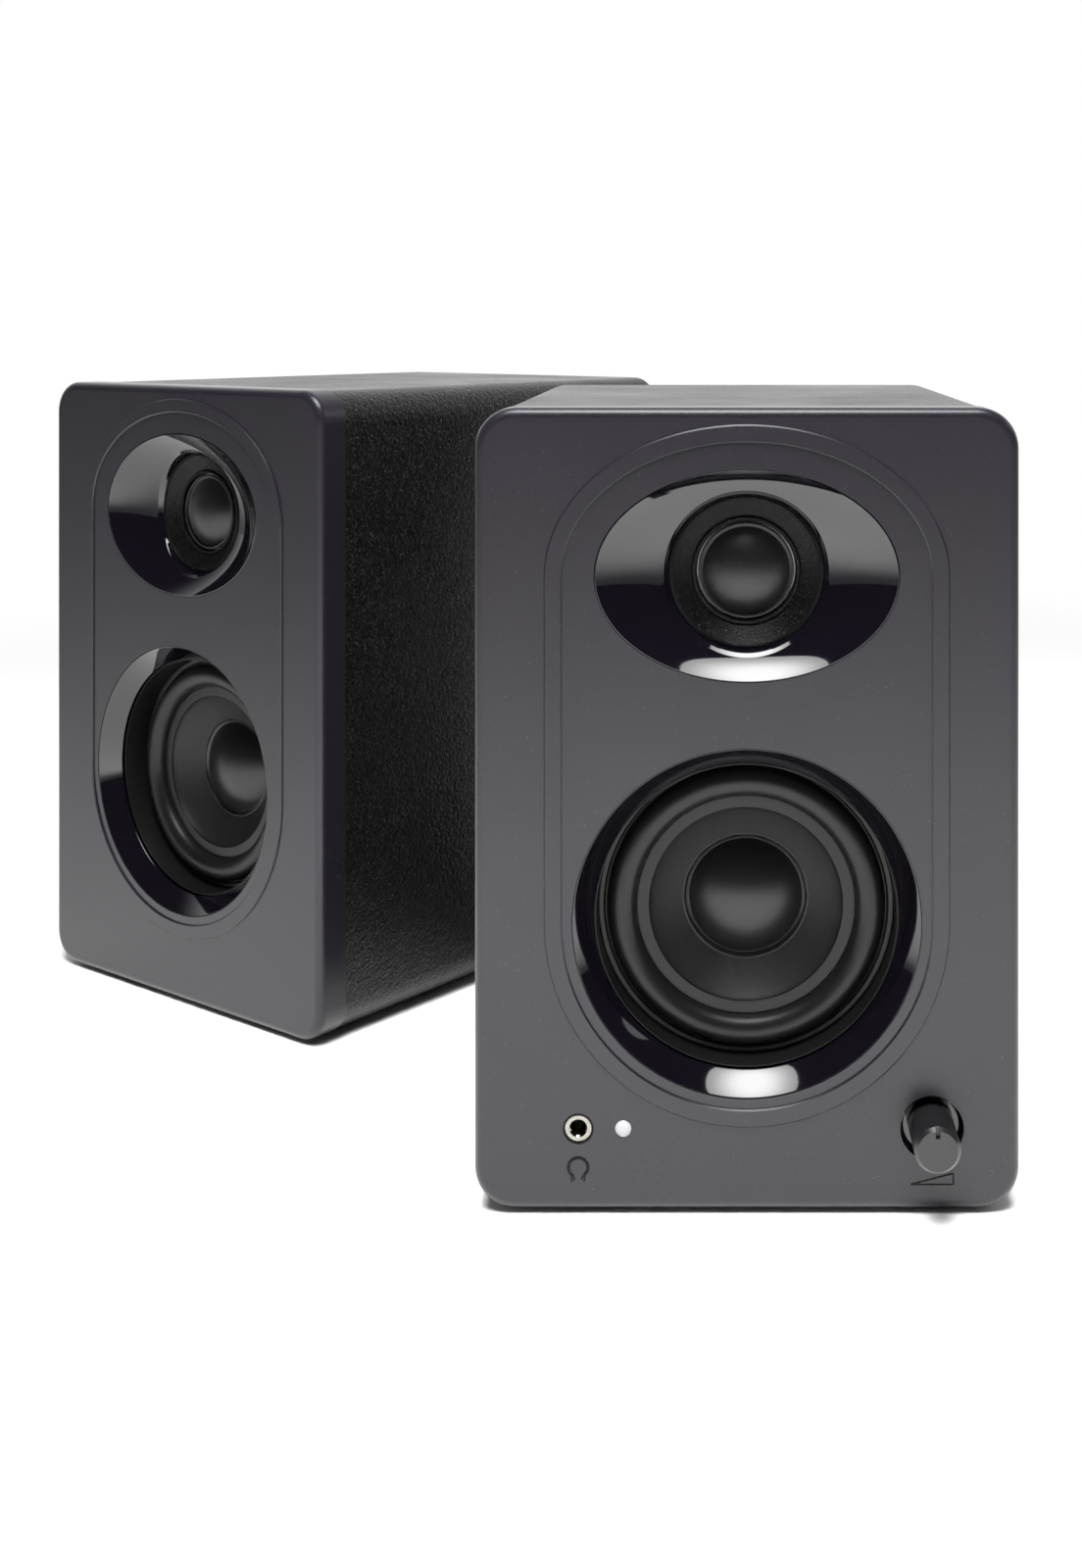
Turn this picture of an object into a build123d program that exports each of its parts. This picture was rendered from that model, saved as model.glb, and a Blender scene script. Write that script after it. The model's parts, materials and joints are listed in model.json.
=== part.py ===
from build123d import *
import os

# A pair of small two-way desktop speakers: the active one holds the amplifier and the
# controls, the passive one stands behind it to the left and is turned towards the listener.
#
# Frame: millimetres, +Z up. The origin is on the surface that the pair stands on, below the
# middle of the active cabinet. The active speaker looks along -Y.
# Every piece is first built in its own speaker's frame: x across, y inwards from the front
# face, z up from the surface that it stands on.

# ---- cabinet and front ----
cabinet_width = 133.4
cabinet_height = 196.1
cabinet_depth = 162.0  # front face to rear face
corner_radius = 10.0
cabinet_step = 0.4  # the cabinet is this much inside the outline of the front
wall = 9.0
cabinet_inner_radius = 3.0
cabinet_rear_round = 1.5
baffle_thickness = 10.0
baffle_round = 2.5
plug_depth = 6.0  # the part of the front that sits inside the cabinet
plug_gap = 0.3
ridge_height = 0.6
ridge_bevel = 0.35
ridge_width = 4.4
ridge_to_woofer_trim = 2.5
ridge_top_to_horn = 6.8

# ---- where things are on the front ----
tweeter_below_top = 41.2
woofer_below_top = 126.1
controls_above_bottom = 20.0
jack_offset = -41.2
led_offset = -30.2
knob_offset = 45.2

# ---- feet ----
foot_radius = 6.0
foot_height = 1.2
foot_inset = 16.0

# ---- tweeter ----
horn_half_width = 37.35
horn_half_height = 25.95
horn_depth = 7.5
horn_body_depth = 12.0
horn_ledge = 2.0
horn_middle_depth = 0.62  # share of the depth at which the horn's middle section lies
horn_middle_size = 0.55  # how far that section is from the throat's size to the mouth's
pod_radius = 20.6
pod_lip = 1.4
pod_recess = 5.6
funnel_recess = 6.8
funnel_throat_radius = 13.5
funnel_throat_recess = 11.2
dome_radius = 11.2
dome_height = 4.6
dome_recess = 12.4
dome_skin = 0.4
dome_roll_width = 1.2
dome_shoulder_radius = 0.5  # share of a dome's radius at which its shoulder is measured
dome_shoulder_height = 0.78  # share of its height there
faceplate_step = 0.6
faceplate_rim = 0.5
tweeter_flange_radius = 23.0
tweeter_flange_thickness = 1.8
tweeter_magnet_radius = 15.0
tweeter_magnet_length = 13.0
tweeter_screw_circle = 19.5
tweeter_screws = 3

# ---- woofer ----
trim_radius = 42.7
trim_bore_radius = 37.7
trim_slope_depth = 5.6
trim_middle_radius = 0.32  # share of the slope's width at its measured middle point
trim_middle_depth = 0.52  # share of its depth there
trim_depth = 9.0
woofer_flange_radius = 43.0
woofer_flange_thickness = 1.5
woofer_screw_circle = 40.6
woofer_screws = 4
surround_outer_radius = 37.2
surround_seat_width = 2.2
surround_roll_radius = 3.0
surround_skin = 0.7
surround_lap = 1.8
cone_depth = 9.5
cone_skin = 0.8
coil_radius = 10.2
coil_wall = 0.6
coil_length = 17.0
dust_cap_radius = 14.4
dust_cap_height = 5.6
dust_cap_skin = 0.6
spider_radius = 23.0
spider_skin = 0.6
spider_behind_cone = 4.0
basket_depth = 25.0
basket_back_radius = 26.0
basket_skin = 1.4
basket_window_front = 4.0
basket_window_back = 6.0
basket_window_width = 0.8  # share of the basket's front radius
magnet_radius = 30.0
magnet_thickness = 10.0
yoke_radius = 29.0
yoke_thickness = 4.0
coil_gap = 0.5

# ---- controls on the active front ----
pocket_height = 12.0
pocket_width = 104.0
pocket_wall = 5.0
board_thickness = 1.6
board_recess = 12.5
board_clearance = 0.5
jack_ring_radius = 3.25
jack_mouth_radius = 2.2
jack_bore_radius = 1.8
jack_recess = 0.3
jack_body_width = 7.0
led_radius = 2.0
led_stand_out = 0.9
led_shoulder_radius = 0.72  # share of its radius at which the nose is measured
led_shoulder_height = 0.6  # share of its height there
bezel_radius = 8.0
bezel_depth = 3.0
bezel_slope = 1.2
bezel_floor = 1.0
bezel_rim = 0.2
knob_radius = 5.6
knob_stand_out = 12.5
knob_foot_recess = 2.4
knob_rim_bevel = 0.8
pointer_width = 1.1
pointer_length = 2.6
pointer_depth = 0.5
pointer_overrun = 1.0  # the notch is cut this far past the knob's edge
shaft_radius = 3.0
shaft_stand_out = 8.0
shaft_end_gap = 1.0
pot_width = 10.0
pot_gap = 1.5

# ---- rear of the active speaker ----
panel_width = 106.0
panel_height = 108.0
panel_radius = 3.0
panel_thickness = 2.0
panel_above_bottom = 13.0
panel_lap = 7.0
amp_board_gap = 20.0
amp_board_margin = 2.0
rear_left_column = -30.0
rear_right_column = 28.0
line_jack_radius = 4.15
line_jack_length = 9.0
line_jack_bore_radius = 1.65
line_jack_flange_radius = 5.6
line_jack_flange = 1.2
line_jack_pitch = 15.0
line_jacks_above_panel = 80.0
aux_above_panel = 56.0
aux_stand_out = 1.0
aux_body_width = 9.0
output_above_panel = 24.0
switch_above_panel = 78.0
inlet_above_panel = 32.0
inlet_width = 30.0
inlet_height = 20.0
inlet_socket_width = 22.0
inlet_socket_height = 9.0
inlet_depth = 14.0
inlet_pin_radius = 1.2
inlet_pin_pitch = 8.6
inlet_wall = 1.8
switch_width = 17.0
switch_height = 24.0
switch_depth = 12.0
switch_border = 1.8
rocker_tilt = 8.0
rocker_dish = 1.4
rocker_stand_out = 3.2
rocker_body_depth = 4.0
rocker_gap = 0.35
rocker_end_gap = 1.05
rocker_taper = 0.6  # share of the half length that is left at the rocker's hidden edge
rocker_axle_radius = 1.5
rocker_axle_reach = 0.5
transformer_width = 44.0
transformer_height = 38.0
transformer_length = 42.0
winding_width = 31.0
winding_height = 23.0
winding_overhang = 10.5
winding_radius = 4.0
transformer_offset = -20.0
transformer_ahead_of_board = 8.0

# ---- spring terminals, one on each speaker ----
terminal_width = 40.0
terminal_height = 27.0
terminal_flange = 1.6
terminal_border = 2.0
terminal_depth = 13.0
terminal_skin = 1.4
terminal_rib = 1.6
lever_gap = 0.5
lever_foot_gap = 1.0
lever_headroom = 2.0
lever_height = 10.0
lever_axle_radius = 1.0
lever_axle_reach = 0.6  # how far the axle's ends go into the tub's walls
lever_stand_out = 5.0
lever_root = 3.0
wire_hole_radius = 1.6
terminal_above_bottom = 62.0

# ---- port ----
port_radius = 13.0
port_skin = 2.0
port_length = 60.0
port_flange_radius = 22.0
port_flange = 2.0
port_flare = 4.0
port_below_top = 38.0

# ---- crossover board of the passive speaker ----
crossover_width = 60.0
crossover_length = 50.0
crossover_above_floor = 4.0
crossover_leg_inset = 5.0
crossover_leg_radius = 3.0
capacitor_radius = 7.0
capacitor_length = 26.0
capacitor_sink = 0.5

# ---- fasteners and fits ----
screw_head_radius = 2.4
screw_head_height = 1.6
screw_shank_radius = 1.3
screw_shank_length = 5.0
pilot_extra = 1.0  # a pilot hole is this much deeper than its screw
fit_gap = 0.1
running_gap = 0.05
cut_ahead = 1.0  # cuts from the front start this far ahead of it

# ---- where the passive speaker stands ----
passive_turn = 36.6  # clockwise, seen from above
passive_gap = 10.5  # from the passive cabinet's side to the active one's rear left edge
passive_lead = 84.6  # how far its front is ahead of that edge, along its side

# ---- places worked out from the sizes above ----
bottom_z = foot_height
top_z = foot_height + cabinet_height
middle_z = foot_height + cabinet_height / 2
tweeter_z = top_z - tweeter_below_top
woofer_z = top_z - woofer_below_top
controls_z = bottom_z + controls_above_bottom
woofer_seat = baffle_thickness + plug_depth
rear_y = cabinet_depth
panel_y = rear_y + panel_thickness
panel_bottom_z = bottom_z + panel_above_bottom
panel_z = panel_bottom_z + panel_height / 2
port_z = top_z - port_below_top
terminal_z = bottom_z + terminal_above_bottom
output_z = panel_bottom_z + output_above_panel
switch_z = panel_bottom_z + switch_above_panel
inlet_z = panel_bottom_z + inlet_above_panel
aux_z = panel_bottom_z + aux_above_panel
line_jacks_z = panel_bottom_z + line_jacks_above_panel
horn_seat = horn_body_depth
funnel_radius = pod_radius - pod_lip
roll_middle_radius = surround_outer_radius - surround_seat_width - surround_roll_radius
cone_edge_radius = roll_middle_radius - surround_roll_radius
cone_back = woofer_seat + cone_depth
basket_back = woofer_seat + basket_depth
amp_board_y = rear_y - amp_board_gap - board_thickness


def disc(radius, front, back, x=0.0, z=0.0):
    """A round rod along y from front to back."""
    return Pos(0, front, 0) * extrude(Plane.XZ * Pos(x, z) * Circle(radius), amount=front - back)


def block(width, height, front, back, x=0.0, z=0.0):
    """A square-edged block between two depths."""
    return Pos(0, front, 0) * extrude(Plane.XZ * Pos(x, z) * Rectangle(width, height), amount=front - back)


def slab(width, height, radius, front, back, x=0.0, z=0.0):
    """A block between two depths whose outline has round corners."""
    shape = Plane.XZ * Pos(x, z) * RectangleRounded(width, height, radius)
    return Pos(0, front, 0) * extrude(shape, amount=front - back)


def turned(edges, x=0.0, z=0.0):
    """A round piece turned about a y axis, from a closed outline of (radius, depth)."""
    return Pos(x, 0, z) * revolve(make_face(edges), Axis.Y)


def outline(*points):
    """The closed outline through these (radius, depth) points."""
    return Polyline(*points, close=True)


def dome_outline(radius, height, skin, base):
    """The section of a dome shell: it bulges towards the front from its base depth."""
    crown = base - height
    half_radius = radius * dome_shoulder_radius
    shoulder = base - height * dome_shoulder_height
    front = ThreePointArc((0, crown), (half_radius, shoulder), (radius, base))
    inner_radius = radius - skin
    back = ThreePointArc((0, crown + skin), (half_radius - skin / 2, shoulder + skin), (inner_radius, base))
    return [front, back, Line((0, crown), (0, crown + skin)), Line((radius, base), (inner_radius, base))]


def screw(x, z, head_side):
    """A pan-head screw driven forwards: its head sits behind head_side, its shank in front."""
    head = disc(screw_head_radius, head_side, head_side + screw_head_height, x, z)
    return head + disc(screw_shank_radius, head_side - screw_shank_length, head_side, x, z)


def round_pattern(radius, count, z):
    """The (x, z) places of holes on a circle about the centre line, the first one diagonal."""
    step = 360 / count
    spots = [Vector(radius, 0).rotate(Axis.Z, step * (number + 0.5)) for number in range(count)]
    return [(spot.X, z + spot.Y) for spot in spots]


def tweeter_screw_places():
    return round_pattern(tweeter_screw_circle, tweeter_screws, tweeter_z)


def woofer_screw_places():
    return round_pattern(woofer_screw_circle, woofer_screws, woofer_z)


# ---- front ----
def racetrack(half_width, horn_margin):
    """The outline round both drivers: half an ellipse over the horn, half a circle under the woofer."""
    ellipse_height = horn_half_height + horn_margin
    over = EllipticalCenterArc((0, tweeter_z), half_width, ellipse_height, 0, arc_size=180)
    under = CenterArc((0, woofer_z), half_width, 180, 180)
    left = Line((-half_width, tweeter_z), (-half_width, woofer_z))
    right = Line((half_width, woofer_z), (half_width, tweeter_z))
    return make_face([over, left, under, right])


def ridge():
    """The raised band that runs round both drivers."""
    inner_half_width = trim_radius + ridge_to_woofer_trim
    band = racetrack(inner_half_width + ridge_width, ridge_top_to_horn + ridge_width)
    band -= racetrack(inner_half_width, ridge_top_to_horn)
    raised = extrude(Plane.XZ * band, amount=ridge_height)
    raised = chamfer(raised.faces().sort_by(Axis.Y)[0].edges(), ridge_bevel)
    return raised


def horn_prism(inset, front, back):
    """An upright elliptical prism of the horn's outline, made smaller by inset."""
    shape = Ellipse(horn_half_width - inset, horn_half_height - inset)
    return Pos(0, front, 0) * extrude(Plane.XZ * Pos(0, tweeter_z) * shape, amount=front - back)


def front_baffle(has_controls):
    body = slab(cabinet_width, cabinet_height, corner_radius, 0, baffle_thickness, 0, middle_z)
    body = fillet(body.faces().sort_by(Axis.Y)[0].edges(), baffle_round)
    plug_width = cabinet_width - 2 * (wall + plug_gap)
    plug_height = cabinet_height - 2 * (wall + plug_gap)
    body += slab(plug_width, plug_height, cabinet_inner_radius, baffle_thickness, woofer_seat, 0, middle_z)
    body += ridge()
    body -= disc(trim_radius + fit_gap, -cut_ahead, trim_depth, 0, woofer_z)
    body -= disc(trim_bore_radius + fit_gap, 0, woofer_seat, 0, woofer_z)
    body -= horn_prism(-fit_gap, -cut_ahead, horn_seat)
    body -= horn_prism(horn_ledge, 0, woofer_seat)
    pilot_front = woofer_seat + woofer_flange_thickness - screw_shank_length - pilot_extra
    for x, z in woofer_screw_places():
        body -= disc(screw_shank_radius, pilot_front, woofer_seat, x, z)
    if has_controls:
        body -= block(pocket_width, pocket_height, pocket_wall, woofer_seat, 0, controls_z)
        body -= disc(jack_ring_radius + fit_gap, 0, pocket_wall, jack_offset, controls_z)
        body -= disc(led_radius + fit_gap, 0, pocket_wall, led_offset, controls_z)
        body -= disc(bezel_radius + fit_gap, 0, pocket_wall, knob_offset, controls_z)
    return body


def horn_section(depth, half_width, half_height):
    """An upright ellipse at this depth, round the tweeter's axis."""
    return Pos(0, depth, tweeter_z) * (Plane.XZ * Ellipse(half_width, half_height))


def tweeter_waveguide():
    """The glossy elliptical horn with the round lip that the tweeter looks out of."""
    body = horn_prism(0, 0, horn_body_depth)
    middle_depth = horn_depth * horn_middle_depth
    middle_width = pod_radius + (horn_half_width - pod_radius) * horn_middle_size
    middle_height = pod_radius + (horn_half_height - pod_radius) * horn_middle_size
    mouth = horn_section(0, horn_half_width - fit_gap, horn_half_height - fit_gap)
    middle = horn_section(middle_depth, middle_width, middle_height)
    throat = horn_section(horn_depth, pod_radius, pod_radius)
    body -= loft([mouth, middle, throat])
    body -= disc(funnel_radius, 0, horn_body_depth, 0, tweeter_z)
    lip_crest = ThreePointArc(
        (funnel_radius, pod_recess + pod_lip / 2),
        (funnel_radius + pod_lip / 2, pod_recess),
        (pod_radius, pod_recess + pod_lip / 2),
    )
    lip_sides = Polyline(
        (pod_radius, pod_recess + pod_lip / 2),
        (pod_radius, horn_body_depth),
        (funnel_radius, horn_body_depth),
        (funnel_radius, pod_recess + pod_lip / 2),
    )
    body += turned([lip_crest, lip_sides], 0, tweeter_z)
    pilot_front = horn_seat + tweeter_flange_thickness - screw_shank_length
    for x, z in tweeter_screw_places():
        body -= disc(screw_shank_radius, pilot_front, horn_seat, x, z)
    return body


def woofer_trim_ring():
    """The glossy dish round the woofer."""
    middle_radius = trim_bore_radius + (trim_radius - trim_bore_radius) * trim_middle_radius
    slope = ThreePointArc(
        (trim_radius - fit_gap, 0),
        (middle_radius, trim_slope_depth * trim_middle_depth),
        (trim_bore_radius, trim_slope_depth),
    )
    back = Polyline(
        (trim_bore_radius, trim_slope_depth),
        (trim_bore_radius, trim_depth),
        (trim_radius, trim_depth),
        (trim_radius, 0),
        (trim_radius - fit_gap, 0),
    )
    return turned([slope, back], 0, woofer_z)


# ---- tweeter ----
def tweeter_faceplate():
    """The grained funnel in front of the dome, with the flange that holds it to the horn."""
    flange_back = horn_seat + tweeter_flange_thickness
    hole_radius = dome_radius + dome_roll_width + 2 * dome_skin
    plate = turned(
        outline(
            (hole_radius, funnel_throat_recess + faceplate_step),
            (funnel_throat_radius, funnel_throat_recess + faceplate_step),
            (funnel_throat_radius, funnel_throat_recess),
            (funnel_radius - fit_gap - faceplate_rim, funnel_recess),
            (funnel_radius - fit_gap, funnel_recess),
            (funnel_radius - fit_gap, horn_seat),
            (tweeter_flange_radius, horn_seat),
            (tweeter_flange_radius, flange_back),
            (hole_radius, flange_back),
        ),
        0,
        tweeter_z,
    )
    for x, z in tweeter_screw_places():
        plate -= disc(screw_shank_radius, flange_back - screw_shank_length, flange_back, x, z)
    return plate


def tweeter_dome():
    """The soft dome and the small roll round its edge, which move together."""
    dome = turned(dome_outline(dome_radius, dome_height, dome_skin, dome_recess), 0, tweeter_z)
    roll_radius = dome_radius + dome_roll_width
    rim = turned(
        outline(
            (dome_radius - dome_skin, dome_recess),
            (dome_radius + dome_skin, dome_recess - dome_skin),
            (roll_radius - dome_skin, dome_recess - dome_skin),
            (roll_radius, dome_recess),
            (roll_radius, dome_recess + dome_skin),
            (dome_radius - dome_skin, dome_recess + dome_skin),
        ),
        0,
        tweeter_z,
    )
    return dome + rim


def tweeter_magnet():
    """The closed magnet cup behind the dome."""
    front = horn_seat + tweeter_flange_thickness
    return disc(tweeter_magnet_radius, front, front + tweeter_magnet_length, 0, tweeter_z)


# ---- woofer ----
def woofer_surround():
    """The rubber half roll between the basket and the cone."""
    seat = woofer_seat
    crest = seat - surround_roll_radius
    outer_foot = roll_middle_radius + surround_roll_radius
    outer_arc = ThreePointArc((outer_foot, seat), (roll_middle_radius, crest), (cone_edge_radius, seat))
    skin_radius = surround_roll_radius - surround_skin
    inner_arc = ThreePointArc(
        (roll_middle_radius + skin_radius, seat),
        (roll_middle_radius, crest + surround_skin),
        (roll_middle_radius - skin_radius, seat),
    )
    flat = turned(
        [
            outer_arc,
            inner_arc,
            Line((outer_foot, seat), (roll_middle_radius + skin_radius, seat)),
            Line((cone_edge_radius, seat), (roll_middle_radius - skin_radius, seat)),
        ],
        0,
        woofer_z,
    )
    seat_ring = turned(
        outline(
            (outer_foot - surround_skin, seat - surround_skin),
            (surround_outer_radius, seat - surround_skin),
            (surround_outer_radius, seat),
            (outer_foot - surround_skin, seat),
        ),
        0,
        woofer_z,
    )
    lap_ring = turned(
        outline(
            (cone_edge_radius - surround_lap, seat - surround_skin),
            (cone_edge_radius + surround_skin, seat - surround_skin),
            (cone_edge_radius + surround_skin, seat),
            (cone_edge_radius - surround_lap, seat),
        ),
        0,
        woofer_z,
    )
    return flat + seat_ring + lap_ring


def cone_depth_at(radius):
    """The depth of the cone's front at this distance from its middle."""
    slope_start = cone_edge_radius - surround_lap
    share = (slope_start - radius) / (slope_start - coil_radius)
    return woofer_seat + cone_depth * share


def woofer_cone():
    neck = coil_radius + coil_wall
    slope_start = cone_edge_radius - surround_lap
    return turned(
        outline(
            (neck, cone_depth_at(neck)),
            (slope_start, woofer_seat),
            (cone_edge_radius, woofer_seat),
            (cone_edge_radius, woofer_seat + cone_skin),
            (slope_start, woofer_seat + cone_skin),
            (neck, cone_depth_at(neck) + cone_skin),
        ),
        0,
        woofer_z,
    )


def woofer_dust_cap():
    base = cone_depth_at(dust_cap_radius)
    return turned(dome_outline(dust_cap_radius, dust_cap_height, dust_cap_skin, base), 0, woofer_z)


def woofer_voice_coil():
    front = cone_depth_at(coil_radius + coil_wall)
    tube = disc(coil_radius + coil_wall, front, front + coil_length, 0, woofer_z)
    return tube - disc(coil_radius, front, front + coil_length, 0, woofer_z)


def woofer_spider():
    middle = cone_back + spider_behind_cone
    ring = disc(spider_radius, middle, middle + spider_skin, 0, woofer_z)
    return ring - disc(coil_radius + coil_wall, middle, middle + spider_skin, 0, woofer_z)


def woofer_basket():
    """The steel frame: front flange, four open windows and the back that carries the magnet."""
    flange_back = woofer_seat + woofer_flange_thickness
    rim = surround_outer_radius - surround_seat_width
    hub = coil_radius + coil_wall + coil_gap
    frame = turned(
        outline(
            (rim, woofer_seat),
            (woofer_flange_radius, woofer_seat),
            (woofer_flange_radius, flange_back),
            (rim + basket_skin, flange_back),
            (basket_back_radius, basket_back),
            (hub, basket_back),
            (hub, basket_back - basket_skin),
            (basket_back_radius - basket_skin, basket_back - basket_skin),
            (rim, flange_back),
        ),
        0,
        woofer_z,
    )
    window_front = flange_back + basket_window_front
    window_back = basket_back - basket_window_back
    for angle in (0, 90, 180, 270):
        window = Pos(rim, 0, 0) * block(2 * rim, rim * basket_window_width, window_front, window_back)
        frame -= Pos(0, 0, woofer_z) * Rot(0, angle, 0) * window
    for x, z in woofer_screw_places():
        frame -= disc(screw_shank_radius, woofer_seat, flange_back, x, z)
    return frame


def woofer_magnet():
    ring = disc(magnet_radius, basket_back, basket_back + magnet_thickness, 0, woofer_z)
    hole = coil_radius + coil_wall + 2 * coil_gap
    return ring - disc(hole, basket_back, basket_back + magnet_thickness, 0, woofer_z)


def woofer_yoke():
    """The back plate and the pole that the voice coil moves on."""
    back = basket_back + magnet_thickness
    plate = disc(yoke_radius, back, back + yoke_thickness, 0, woofer_z)
    return plate + disc(coil_radius - coil_gap, basket_back - basket_skin, back, 0, woofer_z)


def driver_screws():
    heads = [screw(x, z, woofer_seat + woofer_flange_thickness) for x, z in woofer_screw_places()]
    heads += [screw(x, z, horn_seat + tweeter_flange_thickness) for x, z in tweeter_screw_places()]
    return heads


# ---- cabinet ----
def cabinet(is_active):
    width = cabinet_width - 2 * cabinet_step
    height = cabinet_height - 2 * cabinet_step
    radius = corner_radius - cabinet_step
    body = slab(width, height, radius, baffle_thickness, rear_y, 0, middle_z)
    body = fillet(body.faces().sort_by(Axis.Y)[-1].edges(), cabinet_rear_round)
    inner_width = cabinet_width - 2 * wall
    inner_height = cabinet_height - 2 * wall
    body -= slab(
        inner_width, inner_height, cabinet_inner_radius, baffle_thickness, rear_y - wall, 0, middle_z
    )
    body -= disc(port_radius + port_skin + fit_gap, rear_y - wall, rear_y, 0, port_z)
    if is_active:
        body -= slab(
            panel_width - 2 * panel_lap,
            panel_height - 2 * panel_lap,
            panel_radius,
            rear_y - wall,
            rear_y,
            0,
            panel_z,
        )
        for x, z in panel_screw_places():
            body -= disc(screw_shank_radius, rear_y - screw_shank_length, rear_y, x, z)
    else:
        body -= block(
            terminal_width - 2 * terminal_border,
            terminal_height - 2 * terminal_border,
            rear_y - wall,
            rear_y,
            0,
            terminal_z,
        )
    return body


def port_tube():
    """The rear bass port with its flared mouth."""
    outside = rear_y + port_flange
    flare = RadiusArc((port_radius, outside - port_flare), (port_radius + port_flare, outside), port_flare)
    rest = Polyline(
        (port_radius + port_flare, outside),
        (port_flange_radius, outside),
        (port_flange_radius, rear_y),
        (port_radius + port_skin, rear_y),
        (port_radius + port_skin, rear_y - port_length),
        (port_radius, rear_y - port_length),
        (port_radius, outside - port_flare),
    )
    return turned([flare, rest], 0, port_z)


def feet():
    """Four thin round rubber feet."""
    across = cabinet_width / 2 - foot_inset
    spots = [(x, y) for x in (-across, across) for y in (foot_inset, rear_y - foot_inset)]
    pad = extrude(Circle(foot_radius), amount=foot_height + cabinet_step)
    return [Pos(x, y, 0) * pad for x, y in spots]


# ---- controls on the active front ----
def headphone_jack():
    ring = disc(jack_ring_radius, jack_recess, pocket_wall, jack_offset, controls_z)
    body = block(jack_body_width, jack_body_width, pocket_wall, board_recess, jack_offset, controls_z)
    bore = disc(jack_bore_radius, 0, board_recess, jack_offset, controls_z)
    mouth_depth = jack_mouth_radius - jack_bore_radius
    mouth = turned(
        outline(
            (0, jack_recess),
            (jack_mouth_radius, jack_recess),
            (jack_bore_radius, jack_recess + mouth_depth),
            (0, jack_recess + mouth_depth),
        ),
        jack_offset,
        controls_z,
    )
    return ring + body - bore - mouth


def power_led():
    """The round-nosed indicator."""
    stem = disc(led_radius, 0, board_recess, led_offset, controls_z)
    shoulder = (led_radius * led_shoulder_radius, -led_stand_out * led_shoulder_height)
    nose = ThreePointArc((0, -led_stand_out), shoulder, (led_radius, 0))
    cap = turned([nose, Polyline((led_radius, 0), (0, 0), (0, -led_stand_out))], led_offset, controls_z)
    return stem + cap


def volume_bezel():
    """The glossy cup that the knob stands in."""
    cup = turned(
        outline(
            (shaft_radius + 2 * fit_gap, bezel_depth),
            (bezel_radius - bezel_slope, bezel_depth),
            (bezel_radius - bezel_rim, 0),
            (bezel_radius, 0),
            (bezel_radius, bezel_depth + bezel_floor),
            (shaft_radius + 2 * fit_gap, bezel_depth + bezel_floor),
        ),
        knob_offset,
        controls_z,
    )
    return cup


def volume_knob():
    knob = disc(knob_radius, -knob_stand_out, knob_foot_recess, knob_offset, controls_z)
    knob = chamfer(knob.faces().sort_by(Axis.Y)[0].edges(), knob_rim_bevel)
    pointer_z = controls_z + knob_radius + (pointer_overrun - pointer_length) / 2
    knob -= block(
        pointer_width,
        pointer_length + pointer_overrun,
        -knob_stand_out,
        -knob_stand_out + pointer_depth + knob_rim_bevel,
        knob_offset,
        pointer_z,
    )
    knob -= disc(shaft_radius, -shaft_stand_out, knob_foot_recess, knob_offset, controls_z)
    return knob


def volume_shaft():
    return disc(shaft_radius, -shaft_stand_out, board_recess - shaft_end_gap, knob_offset, controls_z)


def volume_pot():
    """The potentiometer that the shaft turns in."""
    front = bezel_depth + bezel_floor + pot_gap
    body = block(pot_width, pot_width, front, board_recess, knob_offset, controls_z)
    return body - disc(shaft_radius + running_gap, front, board_recess, knob_offset, controls_z)


def control_board():
    width = pocket_width - 2 * board_clearance
    height = pocket_height - 2 * board_clearance
    return block(width, height, board_recess, board_recess + board_thickness, 0, controls_z)


# ---- rear of the active speaker ----
def panel_screw_places():
    across = panel_width / 2 - panel_lap / 2
    up = panel_height / 2 - panel_lap / 2
    return [(x, panel_z + z) for x in (-across, across) for z in (-up, 0, up)]


def line_jack_places():
    return [(rear_right_column, line_jacks_z + offset) for offset in (0, line_jack_pitch)]


def amp_panel():
    plate = slab(panel_width, panel_height, panel_radius, rear_y, panel_y, 0, panel_z)
    for x, z in line_jack_places():
        plate -= disc(line_jack_radius + fit_gap, rear_y, panel_y, x, z)
    plate -= disc(jack_ring_radius + fit_gap, rear_y, panel_y, rear_right_column, aux_z)
    plate -= terminal_window(rear_y, panel_y, rear_right_column, output_z)
    tub_width = inlet_width - 2 * inlet_wall
    tub_height = inlet_height - 2 * inlet_wall
    plate -= block(tub_width, tub_height, rear_y, panel_y, rear_left_column, inlet_z)
    plate -= block(
        switch_width - 2 * switch_border,
        switch_height - 2 * switch_border,
        rear_y,
        panel_y,
        rear_left_column,
        switch_z,
    )
    for x, z in panel_screw_places():
        plate -= disc(screw_shank_radius, rear_y, panel_y, x, z)
    return plate


def panel_screws():
    """Six screws driven forwards through the panel into the cabinet."""
    return [screw(x, z, panel_y) for x, z in panel_screw_places()]


def amp_board():
    width = panel_width - 2 * panel_lap - 2 * amp_board_margin
    height = panel_height - 2 * panel_lap - 2 * amp_board_margin
    return block(width, height, amp_board_y, amp_board_y + board_thickness, 0, panel_z)


def line_input_jacks():
    jacks = []
    for x, z in line_jack_places():
        jack = disc(line_jack_radius, amp_board_y + board_thickness, panel_y + line_jack_length, x, z)
        jack += disc(line_jack_flange_radius, panel_y, panel_y + line_jack_flange, x, z)
        jack -= disc(line_jack_bore_radius, panel_y, panel_y + line_jack_length, x, z)
        jacks.append(jack)
    return jacks


def aux_jack():
    outside = panel_y + aux_stand_out
    back = amp_board_y + board_thickness
    jack = disc(jack_ring_radius, back, outside, rear_right_column, aux_z)
    jack += block(aux_body_width, aux_body_width, back, rear_y, rear_right_column, aux_z)
    return jack - disc(jack_bore_radius, outside - board_recess, outside, rear_right_column, aux_z)


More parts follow.
